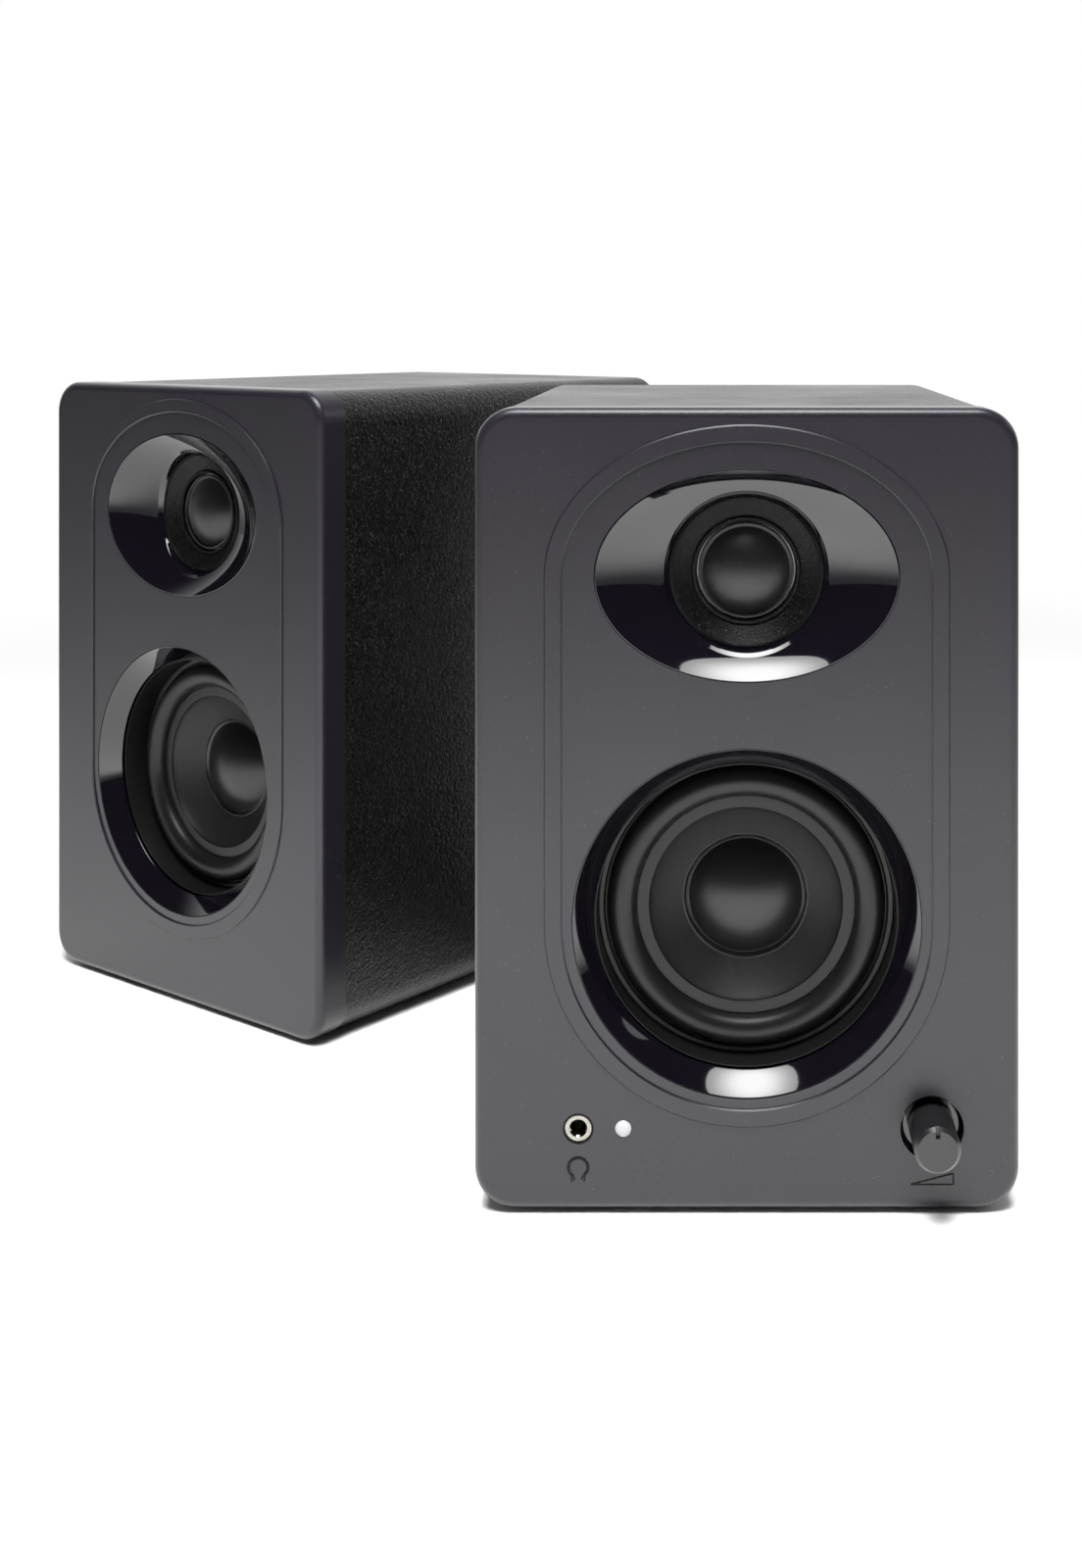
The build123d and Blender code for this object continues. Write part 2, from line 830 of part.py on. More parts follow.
def mains_inlet():
    """The two-pin socket for a removable mains lead."""
    flange = slab(
        inlet_width, inlet_height, inlet_wall, panel_y, panel_y + inlet_wall, rear_left_column, inlet_z
    )
    tub_width = inlet_width - 2 * inlet_wall - 2 * fit_gap
    tub_height = inlet_height - 2 * inlet_wall - 2 * fit_gap
    body = flange + block(tub_width, tub_height, panel_y - inlet_depth, panel_y, rear_left_column, inlet_z)
    floor = panel_y - inlet_depth + inlet_wall
    outside = panel_y + inlet_wall
    socket_radius = inlet_socket_height / 2 - fit_gap
    body -= slab(
        inlet_socket_width, inlet_socket_height, socket_radius, floor, outside, rear_left_column, inlet_z
    )
    for side in (-1, 1):
        pin_x = rear_left_column + side * inlet_pin_pitch / 2
        body += disc(inlet_pin_radius, floor, panel_y, pin_x, inlet_z)
    return body


def switch_tub():
    """The outer width and height of the part of the switch that goes through the panel."""
    border = 2 * switch_border + 2 * fit_gap
    return switch_width - border, switch_height - border


def axle(radius, length, x, y, z):
    """A round pin along x, centred on this point."""
    return Pos(x, y, z) * Rot(0, 90, 0) * Cylinder(radius, length)


def power_switch_frame():
    outside = panel_y + switch_border
    tub_width, tub_height = switch_tub()
    body = slab(switch_width, switch_height, switch_border, panel_y, outside, rear_left_column, switch_z)
    body += block(tub_width, tub_height, panel_y - switch_depth, panel_y, rear_left_column, switch_z)
    opening_width = tub_width - switch_border
    opening_height = tub_height - switch_border
    hollow_back = panel_y - switch_depth + switch_border
    body -= block(opening_width, opening_height, hollow_back, outside, rear_left_column, switch_z)
    seat_length = opening_width + 2 * (rocker_axle_reach + running_gap)
    seat_radius = rocker_axle_radius + running_gap
    return body - axle(seat_radius, seat_length, rear_left_column, panel_y, switch_z)


def power_rocker():
    """The rocker, tilted to its off side; it turns on its axle at the panel's face."""
    tub_width, tub_height = switch_tub()
    width = tub_width - switch_border - 2 * rocker_gap
    half = (tub_height - switch_border) / 2 - rocker_end_gap
    profile = Polyline(
        (-rocker_body_depth, -half * rocker_taper),
        (0, -half),
        (rocker_stand_out, -half + rocker_gap),
        (rocker_stand_out - rocker_dish, 0),
        (rocker_stand_out, half - rocker_gap),
        (0, half),
        (-rocker_body_depth, half * rocker_taper),
        close=True,
    )
    body = extrude(Plane.YZ * make_face(profile), amount=width / 2, both=True)
    body += axle(rocker_axle_radius, width + 2 * (rocker_gap + rocker_axle_reach), 0, 0, 0)
    return Pos(rear_left_column, panel_y, switch_z) * Rot(-rocker_tilt, 0, 0) * body


def transformer():
    """The mains transformer: a laminated core with its winding standing out at both ends."""
    back = amp_board_y - transformer_ahead_of_board
    front = back - transformer_length
    z = bottom_z + wall + transformer_height / 2
    core_front = front + winding_overhang
    core_back = back - winding_overhang
    core = block(transformer_width, transformer_height, core_front, core_back, transformer_offset, z)
    winding = slab(winding_width, winding_height, winding_radius, front, back, transformer_offset, z)
    return core + winding


# ---- spring terminals ----
def terminal_window(front, back, x, z):
    """The hole that a terminal's tub needs."""
    return block(
        terminal_width - 2 * terminal_border, terminal_height - 2 * terminal_border, front, back, x, z
    )


def terminal_inside():
    """The inner width and height of a terminal's tub."""
    width = terminal_width - 2 * (terminal_border + terminal_skin + fit_gap)
    height = terminal_height - 2 * (terminal_border + terminal_skin + fit_gap)
    return width, height


def bay_places(x):
    """The middles of the two bays, one for each lever."""
    width, _ = terminal_inside()
    offset = (width + terminal_rib) / 4
    return x - offset, x + offset


def bay_width():
    width, _ = terminal_inside()
    return (width - terminal_rib) / 2


def spring_terminal(seat, x, z):
    """A tub with two bays: a lever above in each one and a wire hole below it."""
    outside = seat + terminal_flange
    body = slab(terminal_width, terminal_height, terminal_border, seat, outside, x, z)
    inside_width, inside_height = terminal_inside()
    tub_width = inside_width + 2 * terminal_skin
    tub_height = inside_height + 2 * terminal_skin
    body += block(tub_width, tub_height, seat - terminal_depth, seat, x, z)
    hollow_back = seat - terminal_depth + terminal_skin
    sill = z - inside_height / 2 + wire_sill_height()
    hollow_height = z + inside_height / 2 - sill
    pivot_y, pivot_z = lever_pivot(seat, z)
    seat_length = bay_width() + 2 * (lever_axle_reach + running_gap)
    for bay_x in bay_places(x):
        body -= block(bay_width(), hollow_height, hollow_back, outside, bay_x, sill + hollow_height / 2)
        body -= disc(wire_hole_radius, hollow_back, outside, bay_x, wire_hole_z(z))
        body -= axle(lever_axle_radius + running_gap, seat_length, bay_x, pivot_y, pivot_z)
    return body


def wire_sill_height():
    """The height of the solid sill with the wire hole, under each lever."""
    _, inside_height = terminal_inside()
    return inside_height - lever_height - lever_foot_gap - lever_headroom


def wire_hole_z(z):
    _, inside_height = terminal_inside()
    return z - inside_height / 2 + wire_sill_height() / 2


def lever_pivot(seat, z):
    """The (y, z) place of the levers' hinge line."""
    _, inside_height = terminal_inside()
    sill = z - inside_height / 2 + wire_sill_height()
    return seat - lever_root / 2, sill + lever_foot_gap + lever_root / 2


def spring_lever(seat, bay_x, z):
    """A finger lever that is pushed in at its top to open the clamp below."""
    pivot_y, pivot_z = lever_pivot(seat, z)
    width = bay_width() - 2 * lever_gap
    back = -lever_root / 2
    front = seat + lever_stand_out - pivot_y
    low = -lever_root / 2
    high = low + lever_height
    grip = high - lever_root / 2
    profile = make_face(
        Polyline((back, low), (terminal_flange, low), (front, grip), (front, high), (back, high), close=True)
    )
    body = extrude(Plane.YZ * profile, amount=width / 2, both=True)
    body += axle(lever_axle_radius, bay_width() + 2 * lever_axle_reach, 0, 0, 0)
    return Pos(bay_x, pivot_y, pivot_z) * body


# ---- crossover board of the passive speaker ----
def crossover_board():
    """A small board lying on the cabinet's floor, with its capacitor."""
    floor = bottom_z + wall
    low = floor + crossover_above_floor
    middle = cabinet_depth / 2
    board = Pos(0, middle, low) * Box(
        crossover_width, crossover_length, board_thickness, align=(Align.CENTER, Align.CENTER, Align.MIN)
    )
    leg_spread = crossover_width / 2 - crossover_leg_inset
    for side in (-1, 1):
        board += Pos(side * leg_spread, middle, floor) * Cylinder(
            crossover_leg_radius, crossover_above_floor, align=(Align.CENTER, Align.CENTER, Align.MIN)
        )
    can_z = low + board_thickness + capacitor_radius - capacitor_sink
    can = Rot(0, 90, 0) * Cylinder(capacitor_radius, capacitor_length)
    return board + Pos(0, middle, can_z) * can


# ---- the two speakers ----
def shared_pieces(is_active):
    """The pieces that both speakers have."""
    return {
        "cabinet": cabinet(is_active),
        "front_baffle": front_baffle(is_active),
        "tweeter_waveguide": tweeter_waveguide(),
        "tweeter_faceplate": tweeter_faceplate(),
        "tweeter_dome": tweeter_dome(),
        "tweeter_magnet": tweeter_magnet(),
        "woofer_trim_ring": woofer_trim_ring(),
        "woofer_surround": woofer_surround(),
        "woofer_cone": woofer_cone(),
        "woofer_dust_cap": woofer_dust_cap(),
        "woofer_voice_coil": woofer_voice_coil(),
        "woofer_spider": woofer_spider(),
        "woofer_basket": woofer_basket(),
        "woofer_magnet": woofer_magnet(),
        "woofer_yoke": woofer_yoke(),
        "driver_screws": driver_screws(),
        "port_tube": port_tube(),
        "feet": feet(),
    }


def active_pieces():
    pieces = {"active_" + name: piece for name, piece in shared_pieces(True).items()}
    left_bay, right_bay = bay_places(rear_right_column)
    pieces["headphone_jack"] = headphone_jack()
    pieces["power_led"] = power_led()
    pieces["volume_bezel"] = volume_bezel()
    pieces["volume_knob"] = volume_knob()
    pieces["volume_shaft"] = volume_shaft()
    pieces["volume_pot"] = volume_pot()
    pieces["control_board"] = control_board()
    pieces["amp_panel"] = amp_panel()
    pieces["panel_screws"] = panel_screws()
    pieces["amp_board"] = amp_board()
    pieces["transformer"] = transformer()
    pieces["line_input_jacks"] = line_input_jacks()
    pieces["aux_jack"] = aux_jack()
    pieces["mains_inlet"] = mains_inlet()
    pieces["power_switch_frame"] = power_switch_frame()
    pieces["power_rocker"] = power_rocker()
    pieces["output_terminal"] = spring_terminal(panel_y, rear_right_column, output_z)
    pieces["output_lever_red"] = spring_lever(panel_y, left_bay, output_z)
    pieces["output_lever_black"] = spring_lever(panel_y, right_bay, output_z)
    return pieces


def passive_pieces():
    pieces = {"passive_" + name: piece for name, piece in shared_pieces(False).items()}
    left_bay, right_bay = bay_places(0)
    pieces["input_terminal"] = spring_terminal(rear_y, 0, terminal_z)
    pieces["input_lever_red"] = spring_lever(rear_y, left_bay, terminal_z)
    pieces["input_lever_black"] = spring_lever(rear_y, right_bay, terminal_z)
    pieces["crossover_board"] = crossover_board()
    return pieces


def save(name, piece, place):
    """Writes one piece, or a group of like pieces, at its place in the shared frame."""
    solids = piece if isinstance(piece, list) else [piece]
    placed = [place * solid for solid in solids]
    export_step(placed[0] if len(placed) == 1 else Compound(children=placed), f"parts/{name}.step")


def passive_placement():
    """Turns the passive speaker and stands it beside and behind the active one."""
    rear_edge = Pos(-cabinet_width / 2, cabinet_depth / 2, 0)
    side_x = cabinet_width / 2 + passive_gap
    return rear_edge * Rot(0, 0, -passive_turn) * Pos(-side_x, cabinet_depth / 2 - passive_lead, 0)


os.makedirs("parts", exist_ok=True)
to_middle = Pos(0, -cabinet_depth / 2, 0)
for name, piece in active_pieces().items():
    save(name, piece, to_middle)
for name, piece in passive_pieces().items():
    save(name, piece, passive_placement() * to_middle)
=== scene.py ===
import bpy
import bmesh
import json
import math
import numpy as np
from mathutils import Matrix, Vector


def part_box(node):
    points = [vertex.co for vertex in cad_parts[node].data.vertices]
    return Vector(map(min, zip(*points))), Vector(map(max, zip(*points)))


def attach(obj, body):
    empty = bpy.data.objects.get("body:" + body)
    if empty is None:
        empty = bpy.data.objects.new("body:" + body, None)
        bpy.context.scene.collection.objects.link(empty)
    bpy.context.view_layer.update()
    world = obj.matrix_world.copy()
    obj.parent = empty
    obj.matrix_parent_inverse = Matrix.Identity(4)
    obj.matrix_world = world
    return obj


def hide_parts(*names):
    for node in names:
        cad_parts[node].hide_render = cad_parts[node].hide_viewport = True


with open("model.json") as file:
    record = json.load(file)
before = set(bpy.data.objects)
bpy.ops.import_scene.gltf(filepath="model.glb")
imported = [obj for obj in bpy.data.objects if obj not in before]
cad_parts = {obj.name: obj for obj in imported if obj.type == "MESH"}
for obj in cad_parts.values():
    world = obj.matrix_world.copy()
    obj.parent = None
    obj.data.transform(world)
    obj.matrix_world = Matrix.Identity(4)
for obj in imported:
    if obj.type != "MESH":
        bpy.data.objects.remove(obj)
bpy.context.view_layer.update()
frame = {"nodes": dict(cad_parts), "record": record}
mm = 0.001
print("frame loaded:", len(frame["nodes"]), "pieces")

# where the eye stands, and how far the picture is slid to hold both speakers
cameraPlace = {"x": -7.17, "y": -535.65, "z": 219.8, "lens": 42.75, "sensor": 36.0, "nearest": 0.01,
               "slideX": -0.1126, "slideY": -0.29875}


def makeCamera():
    lens = bpy.data.cameras.new("camera")
    lens.lens = cameraPlace["lens"]
    lens.sensor_width = cameraPlace["sensor"]
    lens.shift_x = cameraPlace["slideX"]
    lens.shift_y = cameraPlace["slideY"]
    lens.clip_start = cameraPlace["nearest"]
    camera = bpy.data.objects.new("camera", lens)
    camera.location = [cameraPlace[axis] * mm for axis in "xyz"]
    camera.rotation_euler = (math.radians(90), 0, 0)
    bpy.context.scene.collection.objects.link(camera)
    bpy.context.scene.camera = camera


makeCamera()
bpy.context.scene.view_settings.view_transform = "Standard"
print("camera placed")

# places and sizes in metres, power in watts, spread in degrees; wallFrom and wallFull say how far
# towards the back a direction must point for the wall to start and to be at its full brightness
studio = {
    "glow": {"strength": 0.35, "spread": 150.0},
    "frontBox": {"place": (-0.03, -0.31, 1.02), "aim": (-0.03, -0.08, 0.1), "width": 0.74, "depth": 0.62,
                 "power": 17.0, "inGloss": True,
                 "middle": 1.2, "edge": 0.42, "fadeFrom": 0.1, "fadeTo": 0.5},
    "floorBox": {"place": (-0.05, -0.36, 0.70), "aim": (-0.05, -0.30, 0.0), "width": 0.5, "depth": 0.4,
                 "power": 14.0, "inGloss": False},
    "sideBox": {"place": (1.1, 0.05, 0.75), "aim": (-0.03, 0.0, 0.1), "width": 0.6, "depth": 0.5,
                "power": 1.0, "inGloss": True},
    "ceiling": 0.03, "backWall": 1.3, "wallFrom": 0.15, "wallFull": 0.75, "seen": 1.0,
    "floor": {"size": 24.0, "lines": 25, "tone": 0.86, "mottle": 0.01, "mottleScale": 6.0,
              "roughness": 0.9, "shine": 0.2, "plainFrom": 0.45, "plainFull": 1.0},
}


def makeWorld():
    # a dim room with a bright wall behind the speakers; the eye itself sees plain white
    world = bpy.data.worlds.new("studio")
    bpy.context.scene.world = world
    world.use_nodes = True
    nodes, links = world.node_tree.nodes, world.node_tree.links
    background = nodes["Background"]
    direction = nodes.new("ShaderNodeTexCoord")
    split = nodes.new("ShaderNodeSeparateXYZ")
    links.new(direction.outputs["Generated"], split.inputs[0])
    wall = nodes.new("ShaderNodeMapRange")
    wall.interpolation_type = "SMOOTHSTEP"
    wall.inputs["From Min"].default_value = studio["wallFrom"]
    wall.inputs["From Max"].default_value = studio["wallFull"]
    wall.inputs["To Min"].default_value = studio["ceiling"]
    wall.inputs["To Max"].default_value = studio["backWall"]
    links.new(split.outputs["Y"], wall.inputs["Value"])
    rays = nodes.new("ShaderNodeLightPath")
    seen = nodes.new("ShaderNodeMix")
    links.new(rays.outputs["Is Camera Ray"], seen.inputs["Factor"])
    links.new(wall.outputs["Result"], seen.inputs["A"])
    seen.inputs["B"].default_value = studio["seen"]
    links.new(seen.outputs["Result"], background.inputs["Strength"])
    background.inputs["Color"].default_value = (1, 1, 1, 1)


def makeGlow(glow):
    # an even overhead glow, too broad to throw a hard shadow, that leaves no disc of its own in the gloss
    sun = bpy.data.lights.new("overheadGlow", "SUN")
    sun.energy = glow["strength"]
    sun.angle = math.radians(glow["spread"])
    lamp = bpy.data.objects.new("overheadGlow", sun)
    lamp.visible_glossy = False
    bpy.context.scene.collection.objects.link(lamp)


def softenEdge(light, box):
    # the diffuser is brightest in its middle: strength falls smoothly with the distance from there,
    # on a sheet that runs from 0 to 1 both ways
    light.use_nodes = True
    nodes, links = light.node_tree.nodes, light.node_tree.links
    sheet = nodes.new("ShaderNodeNewGeometry")
    distance = nodes.new("ShaderNodeVectorMath")
    distance.operation = "DISTANCE"
    distance.inputs[1].default_value = (0.5, 0.5, 0.0)
    links.new(sheet.outputs["Parametric"], distance.inputs[0])
    fall = nodes.new("ShaderNodeMapRange")
    fall.interpolation_type = "SMOOTHSTEP"
    fall.inputs["From Min"].default_value = box["fadeFrom"]
    fall.inputs["From Max"].default_value = box["fadeTo"]
    fall.inputs["To Min"].default_value = box["middle"]
    fall.inputs["To Max"].default_value = box["edge"]
    links.new(distance.outputs["Value"], fall.inputs["Value"])
    links.new(fall.outputs["Result"], nodes["Emission"].inputs["Strength"])


def makeSoftbox(name, box):
    light = bpy.data.lights.new(name, "AREA")
    light.shape = "ELLIPSE"
    light.size = box["width"]
    light.size_y = box["depth"]
    light.energy = box["power"]
    if "edge" in box:
        softenEdge(light, box)
    lamp = bpy.data.objects.new(name, light)
    lamp.location = box["place"]
    lamp.rotation_euler = (Vector(box["aim"]) - Vector(box["place"])).to_track_quat("-Z", "Y").to_euler()
    lamp.visible_glossy = box["inGloss"]
    bpy.context.scene.collection.objects.link(lamp)


def makeFloor(plan):
    # the floor is a flat grid of squares; away from the speakers the eye sees it fade to plain white
    side = np.linspace(-0.5, 0.5, plan["lines"]) * plan["size"]
    x, y = np.meshgrid(side, side, indexing="ij")
    floor = surface("studioFloor", np.stack([x, y, np.zeros_like(x)], -1))
    material = bpy.data.materials.new("studioFloorPaint")
    material.use_nodes = True
    nodes, links = material.node_tree.nodes, material.node_tree.links
    paint = nodes["Principled BSDF"]
    paint.inputs["Roughness"].default_value = plan["roughness"]
    paint.inputs["Specular IOR Level"].default_value = plan["shine"]
    place = nodes.new("ShaderNodeTexCoord")
    mottle = nodes.new("ShaderNodeTexNoise")
    mottle.inputs["Scale"].default_value = plan["mottleScale"]
    tone = nodes.new("ShaderNodeMapRange")
    tone.inputs["To Min"].default_value = plan["tone"] - plan["mottle"]
    tone.inputs["To Max"].default_value = plan["tone"] + plan["mottle"]
    links.new(place.outputs["Object"], mottle.inputs["Vector"])
    links.new(mottle.outputs["Fac"], tone.inputs["Value"])
    links.new(tone.outputs["Result"], paint.inputs["Base Color"])
    distance = nodes.new("ShaderNodeVectorMath")
    distance.operation = "LENGTH"
    links.new(place.outputs["Object"], distance.inputs[0])
    away = nodes.new("ShaderNodeMapRange")
    away.interpolation_type = "SMOOTHSTEP"
    away.inputs["From Min"].default_value = plan["plainFrom"]
    away.inputs["From Max"].default_value = plan["plainFull"]
    links.new(distance.outputs["Value"], away.inputs["Value"])
    rays = nodes.new("ShaderNodeLightPath")
    share = nodes.new("ShaderNodeMath")
    share.operation = "MULTIPLY"
    links.new(away.outputs["Result"], share.inputs[0])
    links.new(rays.outputs["Is Camera Ray"], share.inputs[1])
    plain = nodes.new("ShaderNodeEmission")
    blend = nodes.new("ShaderNodeMixShader")
    links.new(share.outputs[0], blend.inputs[0])
    links.new(paint.outputs[0], blend.inputs[1])
    links.new(plain.outputs[0], blend.inputs[2])
    links.new(blend.outputs[0], nodes["Material Output"].inputs["Surface"])
    floor.data.materials.append(material)


# ways of making a surface

making = {"sharp": 35.0, "mergeWithin": 2e-7, "segments": 192, "cornerSteps": 7, "capSteps": 40}
tiny = 1e-9  # keeps a division by a length of nothing away


def surface(name, points, closedAround=False, closedAlong=False):
    # points[i, j] is the surface at step i along and step j around; each square joins four neighbours
    number = np.arange(points.shape[0] * points.shape[1]).reshape(points.shape[:2])
    if closedAlong:
        number = np.concatenate([number, number[:1]], 0)
    if closedAround:
        number = np.concatenate([number, number[:, :1]], 1)
    corners = [number[:-1, :-1], number[1:, :-1], number[1:, 1:], number[:-1, 1:]]
    squares = np.stack(corners, -1).reshape(-1, 4)
    mesh = bpy.data.meshes.new(name)
    mesh.from_pydata(points.reshape(-1, 3).tolist(), [], squares.tolist())
    work = bmesh.new()
    work.from_mesh(mesh)
    bmesh.ops.remove_doubles(work, verts=work.verts, dist=making["mergeWithin"])
    if closedAlong or closedAround:
        bmesh.ops.recalc_face_normals(work, faces=work.faces)
    work.to_mesh(mesh)
    work.free()
    mesh.shade_smooth()
    mesh.set_sharp_from_angle(angle=math.radians(making["sharp"]))
    piece = bpy.data.objects.new(name, mesh)
    bpy.context.scene.collection.objects.link(piece)
    return piece


def softened(corners, closed=True):
    # every corner of the outline turns into a short curve: between the two points that lie
    # `cut` away from it on either side, at most half way to the next corner, it follows
    # (1-t)^2 P + 2t(1-t) C + t^2 Q
    rows = np.array(corners, float)
    place, cut = rows[:, :-1], rows[:, -1:]
    before, after = np.roll(place, 1, 0), np.roll(place, -1, 0)
    if not closed:
        before[0], after[-1] = place[0], place[-1]
    toBefore, toAfter = before - place, after - place
    reachBefore = np.maximum(np.linalg.norm(toBefore, axis=1, keepdims=True), tiny)
    reachAfter = np.maximum(np.linalg.norm(toAfter, axis=1, keepdims=True), tiny)
    start = place + toBefore * np.minimum(cut / reachBefore, 0.5)
    end = place + toAfter * np.minimum(cut / reachAfter, 0.5)
    t = np.linspace(0, 1, making["cornerSteps"])[None, :, None]
    curve = (1 - t) ** 2 * start[:, None] + 2 * t * (1 - t) * place[:, None] + t ** 2 * end[:, None]
    return curve.reshape(-1, place.shape[1])


def centreOf(node):
    low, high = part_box(node)
    return np.array((low + high) / 2)


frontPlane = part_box("active_woofer_trim_ring")[0].y  # the glossy ring starts level with the front
magnetDepth = centreOf("active_woofer_magnet")[1] - frontPlane


def speakerFrame(which):
    # both magnets sit on the middle plane, one behind the other, so they show which way the speaker looks
    woofer, tweeter = centreOf(which + "_woofer_magnet"), centreOf(which + "_tweeter_magnet")
    inward = np.array([*(woofer - tweeter)[:2], 0.0])
    inward /= np.linalg.norm(inward)
    across = np.array([inward[1], -inward[0], 0.0])
    origin = woofer - inward * magnetDepth
    origin[2] = 0.0
    return {"origin": origin, "axes": np.stack([across, inward, [0.0, 0.0, 1.0]]),
            "wooferZ": woofer[2] / mm, "tweeterZ": tweeter[2] / mm}


speakers = {which: speakerFrame(which) for which in ("active", "passive")}


def toFrame(local, which):
    # local points are millimetres across, inwards from the front's face, and up
    return speakers[which]["origin"] + (local * mm) @ speakers[which]["axes"]


def circle(segments=making["segments"]):
    return np.linspace(0, 2 * np.pi, segments, endpoint=False)


def carried(name, which, outline, centre, closed=True, segments=making["segments"]):
    # an outline of (radius, depth) carried round the axis at centre:
    # x = cx + r cos(turn), z = cz + r sin(turn), with r and the depth read along the outline
    turn = circle(segments)
    radius, depth = outline[:, :1], outline[:, 1:]
    x = centre[0] + radius * np.cos(turn)
    z = centre[1] + radius * np.sin(turn)
    y = np.broadcast_to(depth, x.shape)
    return surface(name, toFrame(np.stack([x, y, z], -1), which), True, closed)


def turned(name, which, corners, centre, segments=making["segments"]):
    # a round piece whose corners are (radius, depth, cut)
    return carried(name, which, softened(corners), centre, True, segments)


def onTweeter(which):
    return 0, speakers[which]["tweeterZ"]


def onWoofer(which):
    return 0, speakers[which]["wooferZ"]


def finish(piece, body, slotName, *replaced):
    piece.data.materials.clear()
    piece.data.materials.append(materials[slotName])
    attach(piece, body)
    if replaced:
        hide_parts(*replaced)
    return piece


# effects that several finishes share, as node groups

def newGroup(name, inputs, outputs):
    group = bpy.data.node_groups.new(name, "ShaderNodeTree")
    for label, kind, value in inputs:
        socket = group.interface.new_socket(name=label, in_out="INPUT", socket_type=kind)
        if value is not None:
            socket.default_value = value
    for label, kind in outputs:
        group.interface.new_socket(name=label, in_out="OUTPUT", socket_type=kind)
    entry = group.nodes.new("NodeGroupInput")
    leave = group.nodes.new("NodeGroupOutput")
    return group, entry, leave


grainShape = {"pebbles": 900.0, "roughen": 0.5, "smooth": 0.6, "finer": 2.3, "detail": 3.0,
              "toneAndGlintFrom": 0.56, "toneAndGlintFull": 0.74}


def makeGrainGroup():
    # small raised pebbles broken up by noise: height of the grain and a mask of its high spots, which the
    # finish paints paler, partly as the grain's own tone and partly as painted glint
    group, entry, leave = newGroup(
        "pebbledGrain",
        [("Vector", "NodeSocketVector", None), ("Pebbles", "NodeSocketFloat", grainShape["pebbles"]),
         ("Roughen", "NodeSocketFloat", grainShape["roughen"])],
        [("Height", "NodeSocketFloat"), ("PeakToneAndGlint", "NodeSocketFloat")])
    nodes, links = group.nodes, group.links
    cells = nodes.new("ShaderNodeTexVoronoi")
    cells.feature = "SMOOTH_F1"
    cells.inputs["Smoothness"].default_value = grainShape["smooth"]
    links.new(entry.outputs["Vector"], cells.inputs["Vector"])
    links.new(entry.outputs["Pebbles"], cells.inputs["Scale"])
    fine = nodes.new("ShaderNodeMath")
    fine.operation = "MULTIPLY"
    fine.inputs[1].default_value = grainShape["finer"]
    links.new(entry.outputs["Pebbles"], fine.inputs[0])
    noise = nodes.new("ShaderNodeTexNoise")
    noise.inputs["Detail"].default_value = grainShape["detail"]
    links.new(entry.outputs["Vector"], noise.inputs["Vector"])
    links.new(fine.outputs[0], noise.inputs["Scale"])
    mix = nodes.new("ShaderNodeMix")
    links.new(entry.outputs["Roughen"], mix.inputs["Factor"])
    hills = nodes.new("ShaderNodeMath")
    hills.operation = "SUBTRACT"
    hills.inputs[0].default_value = 1.0
    links.new(cells.outputs["Distance"], hills.inputs[1])
    links.new(hills.outputs[0], mix.inputs["A"])
    links.new(noise.outputs["Fac"], mix.inputs["B"])
    links.new(mix.outputs["Result"], leave.inputs["Height"])
    glintAndTonePeaks = nodes.new("ShaderNodeMapRange")
    glintAndTonePeaks.inputs["From Min"].default_value = grainShape["toneAndGlintFrom"]
    glintAndTonePeaks.inputs["From Max"].default_value = grainShape["toneAndGlintFull"]
    links.new(noise.outputs["Fac"], glintAndTonePeaks.inputs["Value"])
    links.new(glintAndTonePeaks.outputs["Result"], leave.inputs["PeakToneAndGlint"])
    return group


handlingShape = {"low": 0.3, "high": 0.4, "drift": 28.0, "driftDetail": 4.0,
                 "driftFrom": 0.3, "driftFull": 0.7, "specks": 1500.0, "speckDetail": 1.0,
                 "speckFrom": 0.72, "speckFull": 0.80}


def makeHandlingGroup():
    # broad soft drift with a few fine specks: the faint unevenness that handling and dust leave
    group, entry, leave = newGroup(
        "handling",
        [("Vector", "NodeSocketVector", None), ("Low", "NodeSocketFloat", handlingShape["low"]),
         ("High", "NodeSocketFloat", handlingShape["high"]),
         ("Drift", "NodeSocketFloat", handlingShape["drift"]),
         ("Specks", "NodeSocketFloat", handlingShape["specks"])],
        [("Roughness", "NodeSocketFloat"), ("Dust", "NodeSocketFloat")])
    nodes, links = group.nodes, group.links
    broad = nodes.new("ShaderNodeTexNoise")
    broad.inputs["Detail"].default_value = handlingShape["driftDetail"]
    links.new(entry.outputs["Vector"], broad.inputs["Vector"])
    links.new(entry.outputs["Drift"], broad.inputs["Scale"])
    spread = nodes.new("ShaderNodeMapRange")
    spread.inputs["From Min"].default_value = handlingShape["driftFrom"]
    spread.inputs["From Max"].default_value = handlingShape["driftFull"]
    links.new(broad.outputs["Fac"], spread.inputs["Value"])
    links.new(entry.outputs["Low"], spread.inputs["To Min"])
    links.new(entry.outputs["High"], spread.inputs["To Max"])
    links.new(spread.outputs["Result"], leave.inputs["Roughness"])
    fine = nodes.new("ShaderNodeTexNoise")
    fine.inputs["Detail"].default_value = handlingShape["speckDetail"]
    links.new(entry.outputs["Vector"], fine.inputs["Vector"])
    links.new(entry.outputs["Specks"], fine.inputs["Scale"])
    specks = nodes.new("ShaderNodeMapRange")
    specks.inputs["From Min"].default_value = handlingShape["speckFrom"]
    specks.inputs["From Max"].default_value = handlingShape["speckFull"]
    links.new(fine.outputs["Fac"], specks.inputs["Value"])
    links.new(specks.outputs["Result"], leave.inputs["Dust"])
    return group


grainGroup = makeGrainGroup()
handlingGroup = makeHandlingGroup()


def newMaterial(name):
    material = bpy.data.materials.new(name)
    material.use_nodes = True
    nodes, links = material.node_tree.nodes, material.node_tree.links
    place = nodes.new("ShaderNodeTexCoord")
    return material, nodes, links, nodes["Principled BSDF"], place.outputs["Object"]


